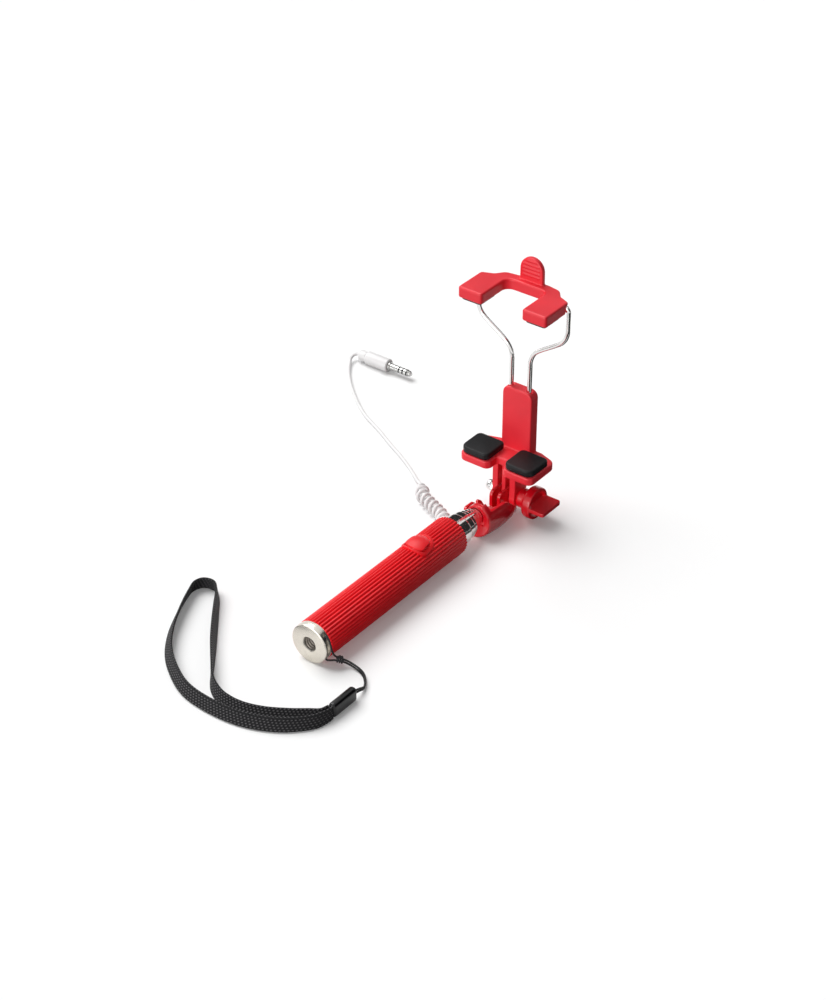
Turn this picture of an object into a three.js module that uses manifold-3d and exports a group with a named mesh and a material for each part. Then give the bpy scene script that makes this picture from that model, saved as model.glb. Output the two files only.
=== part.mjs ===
// Wired selfie stick: ribbed grip with a shutter button, seven telescopic tubes, a scoop-shaped neck,
// a folding spring clamp, a curly plug lead and a wrist strap. Millimetres, +Z up.
// The stick lies along +Y on the ground with its end cap at y = 0, and +X is the thumb screw's side.
import * as THREE from "three";
import { mergeVertices } from "three/addons/utils/BufferGeometryUtils.js";
import Module from "manifold-3d";

const wasm = await Module();
wasm.setup();

// Fits
const gap = 0.3; // between fixed neighbours
const slideGap = 0.15; // between a slide bush and its bore
const sides = 24; // facets of the round tubes

// Handle
const gripRadius = 9.5;
const ribDepth = 0.5;
const ribCount = 36;
const ribSteps = 6;
const capThickness = 4;
const capRadius = 9.35;
const gripEnd = 101;
const axisZ = gripRadius;
const gripStart = capThickness + gap;

// End cap with a tripod socket and a lanyard tunnel
const socketRadius = 3;
const socketMouth = 3.7;
const socketDepth = 9;
const spigotEnd = 14;
const lanyardTunnelRadius = 0.95;
const lanyardTunnelX = 7.1;
const lanyardY = 2.1;
const lanyardGrooveDepth = 0.9;
const lanyardGrooveAngle = 42;

// Telescopic tubes, from the handle's own tube to the thin one in the neck
const tubeCount = 7;
const tubeRadius = 7.5;
const tubeWall = 0.35;
const tubePlay = 0.275;
const tubeLip = 0.28;
const lipLength = 0.7;
const mouths = [107.6, 111.3, 113.5, 115.7, 117.7, 119.4, 123.4];
const rearEnd = 18;
const rearStagger = 3.4;
const bushLength = 3;
const tubeStep = tubeWall + tubePlay;

// Shutter button and its switch
const buttonY = 77.2;
const buttonRadius = 4.9;
const buttonCorner = 2.3;
const buttonCornerX = 3;
const buttonCornerY = -2.5;
const buttonBelly = 9;
const buttonBellyY = 3.6;
const buttonCrown = 10.9;
const borderWidth = 1.6;
const borderCrown = 10;
const boardLength = 10;
const boardWidth = 5.6;
const boardThickness = 0.6;
const domeRadius = 2;
const domeHeight = 0.3;
const buttonTravel = 0.25;
const boardZ = axisZ + tubeRadius + gap;
const buttonBaseZ = boardZ + boardThickness + domeHeight + buttonTravel + 0.05;

// Neck
const neckStart = 117.5;
const collarLength = 3;
const collarEnd = neckStart + collarLength;
const neckEnd = 146.2;
const neckWall = 1.4;
const neckProfile = [
  [9.5, 117.5], [9.9, 118.4], [10.4, 122], [10.8, 127], [10.8, 131], [10.5, 136], [9.6, 140], [8, 143.6],
  [6, 146.2],
];
const mouthRadius = 9;
const mouthDepth = 2.6;
const troughStart = collarEnd + 2;
const bossRadius = 5.1;
const bossEnd = troughStart + 1.1;
const neckFloor = 2.2;
const collarOpenX = 5;
const collarOpenZ = 6;

// Hinge between the neck and the clamp
const hingeY = 146.6;
const hingeZ = 8.7;
const knuckleRadius = 5.1;
const midLeg = 2;
const neckPlate = 1.7;
const sideLeg = 3.1;
const hingePlay = 0.3;
const plateFront = 134.9;
const plateBottom = 4.8;
const plateTop = 14.2;
const plateFloor = 1.4;
const boltRadius = 1.95;
const boltHole = boltRadius + gap;
const plateX = midLeg / 2 + hingePlay;
const legX = plateX + neckPlate + hingePlay;
const legOuter = legX + sideLeg;

// Thumb screw
const hubRadius = 4.8;
const hubLength = 5.4;
const discRadius = 7.8;
const discThickness = 4.4;
const dishRadius = 6.5;
const dishDepth = 1.3;
const wingReach = 7.7;
const wingLength = 14.6;
const wingThickness = 2;
const hubX = legOuter + gap;
const discX = hubX + hubLength;
const knobX = discX + discThickness;
const washerRadius = 3.5;
const washerThickness = 0.6;
const nutAcrossFlats = 5.4;
const nutHex = 2;
const nutRadius = 2.65;
const nutLength = 4.7;
const nutThread = 3;

// Clamp base
const footZ = 25.5;
const footThickness = 4;
const footFront = 134.2;
const footOuter = 20.1;
const footInner = 3.4;
const footNotch = 141.5;
const footDepth = 22.4;
const footBack = footFront + footDepth;
const legFront = 142;
const legBack = footBack - 4.2;
const spineFront = footBack - 5.7;
const spineHalf = 8;
const spineTop = 62;
const spineCavityBottom = 28;
const columnHalf = 3.5;
const columnBottom = 14.5;
const lowerPadInset = 0.4;
const lowerPadInner = 1.2;
const lowerPadHeight = 3.4;
const lowerPadBack = spineFront - 1.1;
const footTop = footZ + footThickness;

// Upper jaw, on the wire's two turned-in ends
const jawZ = 108.5;
const jawThickness = 5.5;
const jawFront = 136.6;
const jawHalf = 23.6;
const jawSlot = 10.8;
const jawSlotBack = footBack - 0.3;
const jawBack = footBack + 5.2;
const jawShoulder = footBack - 2.4;
const upperPadRecess = 1.2;
const upperPadHeight = 2;
const upperPadInset = 1.1;
const upperPadBack = 149.5;
const tabWidth = 12.6;
const tabThickness = 2.4;
const tabRise = 11.7;
const tabBack = jawBack - 0.2;
const tabRidges = 5;
const tabRidgePitch = 1.8;
const jawTop = jawZ + jawThickness;
const tabTop = jawTop + tabRise;

// Wire frame and its spring
const wireRadius = 1.1;
const wireBore = 1.4;
const wireY = footBack - 3.1;
const wireX = 24.3;
const wireStem = 5;
const pivotZ = 111.3;
const pivotEnd = 19.2;
const wireBottom = 44;
const stemTop = 79;
const shoulderBottom = 97;
const springRadius = 1.7;
const springWire = 0.3;
const springTurns = 12;
const springHookZ = 43.4;
const anchorZ = 17;
const anchorRadius = 0.7;
const spineBack = footBack;

// Lead
const leadRadius = 0.85;
const curlRadius = 2.6;
const curlPitch = 3.7;
const plugY = 210.4;
const plugStart = -138.2;
const plugRadius = 3.5;
const plugLength = 14;
const bootLength = 4.4;
const bootRadius = 2.9;
const jackRadius = 1.75;
const jackLength = 14;
const glandX = -10.8;
const glandZ = 4.6;
const glandLength = 10;
const glandHalf = 2.2;
const glandEnd = gripEnd;
const grommetRadius = 1.75;
const grommetLength = 7;
const grommetProud = 1.6;

// Strap
const strapWidth = 6.4;
const strapThickness = 1.1;
const strapLie = 0.05;
const strapCordRadius = 0.45;
const sleeveLength = 15.8;
const sleeveWidth = 3.8;
const sleeveHeight = 7;
const sleeveCentre = [30.6, -15.4];

// Rigid mesh helpers

function toSolid(geometry) {
  const merged = geometry.attributes.normal ? welded(geometry) : geometry;
  return new wasm.Manifold(new wasm.Mesh({
    numProp: 3,
    vertProperties: new Float32Array(merged.attributes.position.array),
    triVerts: new Uint32Array(merged.index.array),
  }));
}

function welded(geometry) {
  const clean = geometry.clone();
  clean.deleteAttribute("normal");
  clean.deleteAttribute("uv");
  return mergeVertices(clean, 1e-4);
}

function toGeometry(solid) {
  const data = solid.getMesh();
  const geometry = new THREE.BufferGeometry();
  geometry.setAttribute("position", new THREE.BufferAttribute(new Float32Array(data.vertProperties), 3));
  geometry.setIndex(new THREE.BufferAttribute(new Uint32Array(data.triVerts), 1));
  return geometry;
}

function join(...geometries) {
  return toGeometry(geometries.map(toSolid).reduce((all, next) => all.add(next)));
}

function cut(geometry, ...tools) {
  return toGeometry(tools.map(toSolid).reduce((rest, tool) => rest.subtract(tool), toSolid(geometry)));
}

function overlap(a, b) {
  return toGeometry(toSolid(a).intersect(toSolid(b)));
}

// A revolved body about the line x = 0, z = axisZ; the profile holds [radius, y] pairs
function turned(profile, segments = sides) {
  const points = profile.map(([r, y]) => new THREE.Vector2(r, y));
  return new THREE.LatheGeometry(points, segments).translate(0, 0, axisZ);
}

// A ring-shaped tube between two radii
function ring(inner, outer, start, end, segments = sides) {
  return turned([[inner, start], [outer, start], [outer, end], [inner, end], [inner, start]], segments);
}

function rod(radius, start, end, segments = sides) {
  return turned([[0, start], [radius, start], [radius, end], [0, end]], segments);
}

// The same about the hinge line, with profile pairs [radius, x]
function turnedX(profile, segments = sides) {
  const points = profile.map(([r, x]) => new THREE.Vector2(r, x));
  const geometry = new THREE.LatheGeometry(points, segments);
  return geometry.rotateZ(-Math.PI / 2).translate(0, hingeY, hingeZ);
}

function box(x0, x1, y0, y1, z0, z1) {
  const geometry = new THREE.BoxGeometry(x1 - x0, y1 - y0, z1 - z0);
  return geometry.translate((x0 + x1) / 2, (y0 + y1) / 2, (z0 + z1) / 2);
}

function shapeOf(points) {
  return new THREE.Shape(points.map(([a, b]) => new THREE.Vector2(a, b)));
}

// A closed outline whose corners are rounded by their third value, or by the given radius
function roundedOutline(corners, radius, steps = 4) {
  const at = (i) => new THREE.Vector2(...corners[(i + corners.length) % corners.length].slice(0, 2));
  return corners.flatMap((corner, i) => {
    const here = at(i);
    const before = at(i - 1).sub(here);
    const after = at(i + 1).sub(here);
    const half = before.angleTo(after) / 2;
    const wanted = (corner[2] ?? radius) / Math.tan(half);
    const reach = Math.min(wanted, before.length() * 0.49, after.length() * 0.49);
    const swing = (2 * half - Math.PI) * Math.sign(before.cross(after));
    const from = here.clone().add(before.setLength(reach));
    const inward = before.normalize().add(after.normalize()).setLength(reach / Math.cos(half));
    const centre = here.clone().add(inward);
    return Array.from({ length: steps + 1 }, (_, k) => (
      from.clone().rotateAround(centre, (swing * k) / steps).toArray()
    ));
  });
}

// Extrusions of an outline: along Z from an XY outline, and along X from a YZ outline
function plateXY(outline, z0, z1, bevel = 0) {
  const geometry = new THREE.ExtrudeGeometry(shapeOf(outline), {
    depth: z1 - z0 - 2 * bevel,
    bevelEnabled: bevel > 0,
    bevelThickness: bevel,
    bevelSize: bevel,
    bevelOffset: -bevel,
    bevelSegments: 2,
  });
  return geometry.translate(0, 0, z0 + bevel);
}

function plateYZ(outline, x0, x1, bevel = 0) {
  const turn = new THREE.Matrix4().set(0, 0, 1, 0, 1, 0, 0, 0, 0, 1, 0, 0, 0, 0, 0, 1);
  return plateXY(outline, x0, x1, bevel).applyMatrix4(turn);
}

function plateXZ(outline, y0, y1, bevel = 0) {
  return plateXY(outline, -y1, -y0, bevel).rotateX(Math.PI / 2);
}

function mirroredX(outline) {
  return outline.map(([x, y]) => [-x, y]).reverse();
}

function curveThrough(points) {
  const vectors = points.map(([x, y, z]) => new THREE.Vector3(x, y, z));
  return new THREE.CatmullRomCurve3(vectors, false, "centripetal");
}

function circlePoints(radius, count) {
  return Array.from({ length: count }, (_, i) => {
    const angle = (2 * Math.PI * i) / count;
    return [radius * Math.cos(angle), radius * Math.sin(angle)];
  });
}

function cordAlong(points, radius, steps, count = 8) {
  return new THREE.ExtrudeGeometry(shapeOf(circlePoints(radius, count)), {
    steps,
    extrudePath: curveThrough(points),
  });
}

// A closed skin over equal rings of points, with a fan at each end
function skin(rings) {
  const size = rings[0].length;
  const positions = rings.flat().flatMap((p) => [p.x, p.y, p.z]);
  const index = [];
  for (let i = 0; i + 1 < rings.length; i++) {
    for (let j = 0; j < size; j++) {
      const a = i * size + j;
      const b = i * size + ((j + 1) % size);
      index.push(a, b, a + size, b, b + size, a + size);
    }
  }
  const last = (rings.length - 1) * size;
  for (let j = 1; j + 1 < size; j++) {
    index.push(0, j + 1, j, last, last + j, last + j + 1);
  }
  const geometry = new THREE.BufferGeometry();
  geometry.setAttribute("position", new THREE.Float32BufferAttribute(positions, 3));
  geometry.setIndex(index);
  return geometry;
}

// A round wire wound about a curve, straight for one wire diameter at each end
function wound(curve, radius, wire, turns, stepsPerTurn = 8, wireSides = 5) {
  const leadIn = 1.2;
  const count = turns * stepsPerTurn;
  const lead = leadIn / turns;
  const centres = [];
  for (let i = 0; i <= count; i++) {
    const t = i / count;
    const along = curve.getTangentAt(t);
    const across = new THREE.Vector3(-along.y, along.x, 0);
    if (across.length() < 0.2) across.set(1, 0, 0);
    across.normalize();
    const up = new THREE.Vector3().crossVectors(along, across);
    const swell = Math.min(1, Math.min(t, 1 - t) / lead);
    const reach = radius * swell * swell * (3 - 2 * swell);
    const angle = (2 * Math.PI * i) / stepsPerTurn;
    const centre = curve.getPointAt(t);
    centre.addScaledVector(across, reach * Math.cos(angle)).addScaledVector(up, reach * Math.sin(angle));
    centres.push(centre);
  }
  const endRun = 2 * wire;
  centres.unshift(centres[0].clone().addScaledVector(curve.getTangentAt(0), -endRun));
  centres.push(centres[count + 1].clone().addScaledVector(curve.getTangentAt(1), endRun));
  return { centres, geometry: skin(wireRings(centres, wire, wireSides)) };
}

function wireRings(centres, wire, wireSides) {
  const rings = [];
  let side = new THREE.Vector3(1, 0, 0);
  centres.forEach((centre, i) => {
    const before = centres[Math.max(i - 1, 0)];
    const after = centres[Math.min(i + 1, centres.length - 1)];
    const along = after.clone().sub(before).normalize();
    side = side.clone().addScaledVector(along, -side.dot(along)).normalize();
    const other = new THREE.Vector3().crossVectors(along, side);
    rings.push(circlePoints(wire, wireSides).map(([a, b]) => (
      centre.clone().addScaledVector(side, a).addScaledVector(other, b)
    )));
  });
  return rings;
}

// The least gap between neighbouring curls, leaving out stretches where the wire runs almost straight
function leastSelfGap(centres, wire) {
  let least = Infinity;
  for (let i = 0; i < centres.length; i++) {
    let run = 0;
    for (let j = i + 1; j < centres.length; j++) {
      run += centres[j].distanceTo(centres[j - 1]);
      const apart = centres[i].distanceTo(centres[j]);
      if (apart < 0.6 * run) least = Math.min(least, apart);
    }
  }
  return least - 2 * wire;
}

// Materials

function finish(color, roughness, metalness = 0) {
  return new THREE.MeshStandardMaterial({ color, roughness, metalness });
}

const redRubber = () => finish(0xc4071a, 0.62);
const redGloss = () => finish(0xc90718, 0.3);
const redSatin = () => finish(0xd8202c, 0.42);
const blackRubber = () => finish(0x17181a, 0.7);
const chrome = () => finish(0xd9d8d4, 0.12, 1);
const nickel = () => finish(0xcfcac0, 0.28, 1);
const steel = () => finish(0xb9b9b6, 0.3, 1);
const whitePlastic = () => finish(0xe9e7e6, 0.45);
const blackPlastic = () => finish(0x121214, 0.35);
const blackWeave = () => finish(0x1b1a1a, 0.85);
const boardGreen = () => finish(0x1f5a34, 0.5);
const nylon = () => finish(0xd8d2c0, 0.5);

const group = new THREE.Group();
const cords = new THREE.Group();

function add(name, geometry, material, parent = group) {
  const mesh = new THREE.Mesh(geometry, material);
  mesh.name = name;
  parent.add(mesh);
  return mesh;
}

// Grip: a ribbed rubber sleeve with a smooth border round the button

function buttonOutline(offset) {
  const arc = [];
  const corner = buttonCorner + offset;
  const crown = buttonRadius + offset;
  const turn = (cx, cy, r, from, to, count) => {
    for (let i = 0; i <= count; i++) {
      const angle = THREE.MathUtils.degToRad(from + ((to - from) * i) / count);
      arc.push([cx + r * Math.cos(angle), buttonY + cy + r * Math.sin(angle)]);
    }
  };
  turn(buttonCornerX, buttonCornerY, corner, -70, -12, 4);
  turn(0, 0, crown, -4, 184, 14);
  turn(-buttonCornerX, buttonCornerY, corner, 192, 250, 4);
  turn(0, buttonBellyY, buttonBelly + offset, 250, 290, 4);
  return arc;
}

function ribbedOutline() {
  const count = ribCount * ribSteps;
  return Array.from({ length: count }, (_, i) => {
    const angle = (2 * Math.PI * i) / count;
    const crest = Math.abs(Math.cos(((angle + Math.PI / 2) * ribCount) / 2));
    const radius = gripRadius - ribDepth * (1 - crest);
    return [radius * Math.cos(angle), radius * Math.sin(angle)];
  });
}

function gland() {
  const half = glandHalf;
  const back = glandEnd - glandLength;
  const root = glandX + 2 * half;
  const outline = roundedOutline([
    [glandX - half, back + half * 2], [glandX - half, glandEnd], [root, glandEnd], [root, back],
  ], 1.2);
  return plateXY(outline, glandZ - half, glandZ + half, 0.5);
}

function boardBox(clearance, z0, z1) {
  const x = boardWidth / 2 + clearance;
  const y = boardLength / 2 + clearance;
  return box(-x, x, buttonY - y, buttonY + y, z0, z1);
}

function gripSleeve() {
  const ribs = plateXZ(ribbedOutline(), gripStart, gripEnd).translate(0, 0, axisZ);
  const border = overlap(
    plateXY(buttonOutline(borderWidth), axisZ + gripRadius / 2, axisZ + borderCrown + 1),
    rod(borderCrown, gripStart, gripEnd, 64),
  );
  const body = join(ribs, border, gland());
  const bore = grommetProud - grommetLength - gap;
  return cut(
    body,
    rod(tubeRadius + gap, 0, gripEnd + 1),
    plateXY(buttonOutline(gap), buttonBaseZ - gap, axisZ + buttonCrown + 1),
    boardBox(gap, axisZ, buttonBaseZ),
    atGland([[0, bore], [grommetRadius + gap, bore], [grommetRadius + gap, grommetProud], [0, grommetProud]]),
  );
}

// A revolved piece on the lead's exit line, with profile pairs [radius, distance beyond the boss]
function atGland(profile) {
  const points = profile.map(([r, y]) => new THREE.Vector2(r, y));
  return new THREE.LatheGeometry(points, 14).translate(glandX, glandEnd, glandZ);
}

add("grip_sleeve", gripSleeve(), redRubber());

const grommetBore = leadRadius + gap;
const grommetBack = grommetProud - grommetLength;
add("lead_grommet", atGland([
  [grommetBore, grommetBack], [grommetRadius, grommetBack], [grommetRadius, grommetProud - 0.4],
  [grommetRadius - 0.3, grommetProud], [grommetBore, grommetProud], [grommetBore, grommetBack],
]), whitePlastic());

add("shutter_button", overlap(
  plateXY(buttonOutline(0), buttonBaseZ, axisZ + buttonCrown + 1),
  rod(buttonCrown, gripStart, gripEnd, 64),
), redRubber());

add("switch_board", boardBox(0, boardZ, boardZ + boardThickness), boardGreen());

const domeBase = boardZ + boardThickness + 0.02;
const domeProfile = [[0, 0], [domeRadius, 0], [domeRadius * 0.6, domeHeight * 0.8], [0, domeHeight]];
const dome = new THREE.LatheGeometry(domeProfile.map(([r, z]) => new THREE.Vector2(r, z)), 16);
add("switch_dome", dome.rotateX(Math.PI / 2).translate(0, buttonY, domeBase), steel());

// End cap: a plated plug with a threaded socket, and a tunnel that the wrist cord passes through

function endCap() {
  const spigot = tubeRadius - tubeWall - gap;
  const body = turned([
    [0, socketDepth], [socketRadius, socketDepth], [socketRadius, socketMouth - socketRadius],
    [socketMouth, 0], [capRadius - 0.5, 0], [capRadius, 0.5], [capRadius, capThickness],
    [spigot, capThickness], [spigot, spigotEnd - 0.6], [spigot - 0.6, spigotEnd], [0, spigotEnd],
  ], 40);
  const tunnel = new THREE.CylinderGeometry(lanyardTunnelRadius, lanyardTunnelRadius, 2 * capRadius, 10);
  tunnel.rotateX(Math.PI / 2).translate(lanyardTunnelX, lanyardY, axisZ);
  const half = lanyardTunnelRadius;
  const groove = ring(capRadius - lanyardGrooveDepth, capRadius + 1, lanyardY - half, lanyardY + half, 40);
  const reach = capRadius * Math.sin(THREE.MathUtils.degToRad(lanyardGrooveAngle));
  const sector = box(lanyardTunnelX - half, capRadius + 1, 0, capThickness, axisZ - reach, axisZ + reach);
  return cut(body, tunnel, overlap(groove, sector));
}

add("end_cap", endCap(), nickel());

// Tubes: each one's mouth is rolled in, and a bush behind its rear end rides in the next larger one

const tubes = mouths.map((mouth, i) => {
  const outer = tubeRadius - i * tubeStep;
  const rear = i === 0 ? gripStart : rearEnd + rearStagger * (i - 1);
  return { outer, inner: outer - tubeWall, rear, mouth };
});

tubes.forEach(({ outer, inner, rear, mouth }, i) => {
  const lipped = i + 1 < tubeCount;
  const lip = lipped ? tubeLip - 0.1 : 0;
  add(`tube_${i + 1}`, turned([
    [inner, rear], [outer, rear], [outer, mouth - lipLength], [outer - lip * 0.6, mouth - lipLength * 0.3],
    [outer - lip, mouth], [inner - lip * 0.4, mouth], [inner - lip * 0.6, mouth - lipLength * 0.4],
    [inner, mouth - 2 * lipLength], [inner, rear],
  ]), chrome());
  if (i > 0) {
    const bore = tubes[i - 1].inner;
    const front = rear - gap;
    add(`slide_bush_${i + 1}`, ring(inner - gap, bore - slideGap, front - bushLength, front, 20), nylon());
  }
});

// Neck: a barrel-shaped scoop, open to the upper left, that holds the thin tube and two hinge plates

const thinTube = tubes[tubeCount - 1];

function neckTopRight() {
  return [
    [collarEnd, 15.2], [126, 15.3], [130.4, 15.1], [132.6, 14.3], [135.3, 11.7], [138, 9.6], [141, 5.6],
    [neckEnd + 1, 1.9],
  ];
}

function neckTopLeft() {
  const lobe = roundedOutline([[124.4, 4.4], [124.9, 7.5], [132.2, 7.2], [133, 5]], 2.6);
  const ear = roundedOutline([[133.4, 5], [134.4, 6.9], [136.6, 6.1], [136.9, 2.6]], 1.3);
  return [[collarEnd, 5], ...lobe, ...ear, [138, neckFloor], [141, 2], [neckEnd + 1, 1.8]];
}

function neckPlates() {
  const knuckle = Array.from({ length: 11 }, (_, i) => {
    const angle = Math.PI / 2 - (Math.PI * i) / 10;
    return [hingeY + knuckleRadius * Math.cos(angle), hingeZ + knuckleRadius * Math.sin(angle)];
  });
  const front = roundedOutline([
    [hingeY - 1.5, plateFloor], [plateFront + 4, plateFloor], [plateFront + 3.6, plateBottom],
    [plateFront, plateBottom + 0.4], [plateFront, plateTop], [hingeY - 2, plateTop],
  ], 2.4).slice(5, -5);
  const right = plateYZ([...knuckle, [hingeY - 1.5, plateFloor], ...front], plateX, plateX + neckPlate, 0.4);
  return [right, right.clone().translate(-2 * plateX - neckPlate, 0, 0)];
}

function neck() {
  const barrel = turned([[0, neckStart], ...neckProfile, [0, neckEnd]], 36);
  const far = 12;
  const above = 30;
  const right = plateYZ([...neckTopRight(), [neckEnd + 1, above], [collarEnd, above]], 0, far);
  const left = plateYZ([...neckTopLeft(), [neckEnd + 1, above], [collarEnd, above]], -far, 0.01);
  const collarOpening = box(-far, collarOpenX, neckStart - 1, collarEnd + 0.01, collarOpenZ, above);
  const mouth = turned([
    [0, neckStart - 1], [mouthRadius + 0.6, neckStart - 1], [mouthRadius, neckStart],
    [thinTube.outer + gap + 0.8, neckStart + mouthDepth], [0, neckStart + mouthDepth],
  ], 36);
  const hollow = neckProfile.filter(([, y]) => y > collarEnd + 1).map(([r, y]) => [r - neckWall, y]);
  const [lastRadius] = hollow[hollow.length - 1];
  const hollowEnd = neckEnd + 1;
  const trough = cut(
    turned([
      [0, troughStart], [hollow[0][0], troughStart], ...hollow.slice(1),
      [lastRadius, hollowEnd], [0, hollowEnd],
    ], 36),
    rod(bossRadius, troughStart - 1, bossEnd, 24),
    box(-far, far, troughStart - 1, neckEnd + 2, 0, neckFloor),
  );
  const ground = box(-far, far, neckStart - 1, neckEnd + 1, -5, 0);
  const socket = rod(thinTube.outer + gap, neckStart, thinTube.mouth + gap);
  const shell = cut(barrel, right, left, collarOpening, mouth, trough, ground);
  const boss = rod(bossRadius, collarEnd, bossEnd, 24);
  const bolt = turnedX([[0, -far], [boltHole, -far], [boltHole, far], [0, far]], 20);
  return cut(join(shell, boss, ...neckPlates()), socket, bolt);
}

add("head_neck", neck(), redGloss());

// Clamp base: three hinge legs under a two-footed plate, and a spine that guides the wire frame

function legOutline(front, back) {
  const outline = [[back, footZ + 1], [front, footZ + 1], [front, hingeZ + 6]];
  for (let i = 0; i <= 12; i++) {
    const angle = Math.PI * (0.92 + (1.16 * i) / 12);
    outline.push([hingeY + knuckleRadius * Math.cos(angle), hingeZ + knuckleRadius * Math.sin(angle)]);
  }
  outline.push([back, hingeZ + 6]);
  return outline;
}

function footPlate() {
  const half = [
    [footInner, footNotch, 1.5], [footInner, footFront, 3.2], [footOuter, footFront, 3.2],
    [footOuter, footBack - 3, 4], [spineHalf + 3, footBack, 3],
  ];
  return roundedOutline([...half, ...half.map(([x, y, corner]) => [-x, y, corner]).reverse()], 3);
}

function clampBase() {
  const plate = plateXY(footPlate(), footZ, footTop, 0.7);
  const leg = legOutline(legFront, legBack);
  const legs = [
    plateYZ(leg, -legOuter, -legX, 0.4),
    plateYZ(leg, -midLeg / 2, midLeg / 2, 0.3),
    plateYZ(leg, legX, legOuter, 0.4),
  ];
  const spine = plateXZ(roundedOutline([
    [-spineHalf, footZ + 1, 1], [spineHalf, footZ + 1, 1],
    [spineHalf, spineTop, 3.5], [-spineHalf, spineTop, 3.5],
  ], 3), spineFront, spineBack, 0.6);
  const column = plateXY(roundedOutline([
    [-columnHalf, legBack - 1.5, 0.5], [columnHalf, legBack - 1.5, 0.5],
    [columnHalf, spineBack, 2.4], [-columnHalf, spineBack, 2.4],
  ], 2), columnBottom, footZ + 1);
  const web = box(-midLeg / 2, midLeg / 2, legBack - 2, legBack + 1, columnBottom + 1, footZ + 1);
  const slot = wireStem + wireBore;
  const cavity = box(-slot, slot, wireY - wireBore, spineBack + 1, spineCavityBottom, spineTop - 3);
  const bore = (x) => new THREE.CylinderGeometry(wireBore, wireBore, 30, 12)
    .rotateX(Math.PI / 2).translate(x, wireY, spineTop - 4);
  const well = springRadius + springWire + gap;
  const springWell = new THREE.CylinderGeometry(well, well, 30, 14)
    .rotateX(Math.PI / 2).translate(0, wireY, columnBottom + 1.2 + 15);
  const anchorHole = new THREE.CylinderGeometry(anchorRadius + 0.1, anchorRadius + 0.1, 12, 10)
    .rotateZ(Math.PI / 2).translate(0, wireY, anchorZ);
  const bolt = turnedX([[0, -12], [boltHole, -12], [boltHole, 12], [0, 12]], 20);
  const seat = slot + 0.6;
  const coverSeat = box(-seat, seat, spineBack - 1.5, spineBack + 1, spineCavityBottom - 0.6, spineTop - 2.4);
  return cut(
    join(plate, ...legs, spine, column, web),
    cavity, bore(-wireStem), bore(wireStem), springWell, anchorHole, bolt, coverSeat,
  );
}

add("clamp_base", clampBase(), redSatin());

const coverHalf = wireStem + wireBore + 0.6 - gap;
add("spine_cover", plateXZ(roundedOutline([
  [-coverHalf, spineCavityBottom - 0.6 + gap], [coverHalf, spineCavityBottom - 0.6 + gap],
  [coverHalf, spineTop - 2.4 - gap], [-coverHalf, spineTop - 2.4 - gap],
], 0.5, 2), spineBack - 1.2, spineBack, 0.2), redSatin());

function lowerPad() {
  const inset = lowerPadInset;
  const inner = footInner + lowerPadInner;
  return roundedOutline([
    [inner, footFront + inset, 3], [footOuter - inset, footFront + inset, 3.8],
    [footOuter - inset, lowerPadBack, 2.5], [inner, lowerPadBack, 2.5],
  ], 2, 4);
}

const padZ = footTop + 0.1;
add("lower_pad_right", plateXY(lowerPad(), padZ, padZ + lowerPadHeight, 0.9), blackRubber());
add("lower_pad_left", plateXY(mirroredX(lowerPad()), padZ, padZ + lowerPadHeight, 0.9), blackRubber());

// Thumb screw: a winged plastic knob moulded on a steel screw, with a washer and a domed nut

const washerX = -legOuter - gap;
const nutX = washerX - washerThickness - gap;
const screwEnd = nutX - nutThread;
add("hinge_screw", turnedX([
  [0, screwEnd], [boltRadius - 0.4, screwEnd], [boltRadius, screwEnd + 0.4], [boltRadius, discX], [0, discX],
], 16), steel());

function thumbKnob() {
  const bore = boltRadius + gap;
  const body = turnedX([
    [0, discX + gap], [bore, discX + gap], [bore, hubX], [hubRadius - 0.8, hubX], [hubRadius, hubX + 0.8],
    [hubRadius, discX - 1.2], [discRadius - 0.6, discX], [discRadius, discX + 0.6],
    [discRadius, knobX - 0.6], [discRadius - 0.6, knobX], [dishRadius, knobX],
    [dishRadius - 0.6, knobX - dishDepth], [0, knobX - dishDepth],
  ], 32);
  const half = wingLength / 2;
  const wing = plateXY(roundedOutline([
    [discX + 1, hingeY - half, 0.5], [knobX + wingReach, hingeY - half, 1.2],
    [knobX + wingReach, hingeY + half, 1.2], [discX + 1, hingeY + half, 0.5],
  ], 1, 3), hingeZ - wingThickness / 2, hingeZ + wingThickness / 2, 0.4);
  return join(body, wing);
}

add("thumb_knob", thumbKnob(), redGloss());

add("hinge_washer", turnedX([
  [boltHole, washerX - washerThickness], [washerRadius, washerX - washerThickness], [washerRadius, washerX],
  [boltHole, washerX], [boltHole, washerX - washerThickness],
], 24), nickel());

function hingeNut() {
  const corner = nutAcrossFlats / 2 / Math.cos(Math.PI / 6);
  const hexagon = plateYZ(circlePoints(corner, 6), nutX - nutHex, nutX).translate(0, hingeY, hingeZ);
  const end = nutX - nutLength;
  const dome = turnedX([
    [0, end], [nutRadius * 0.5, end + 0.1], [nutRadius * 0.85, end + 0.5], [nutRadius, end + 1.1],
    [nutRadius, nutX - 0.5], [0, nutX - 0.5],
  ], 20);
  const bottom = screwEnd - gap;
  const hole = turnedX([[0, bottom], [boltHole, bottom], [boltHole, nutX + 1], [0, nutX + 1]], 16);
  return cut(join(hexagon, dome), hole);
}

add("hinge_nut", hingeNut(), chrome());

// Wire frame: one bent wire whose turned-in ends carry the upper jaw

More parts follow.
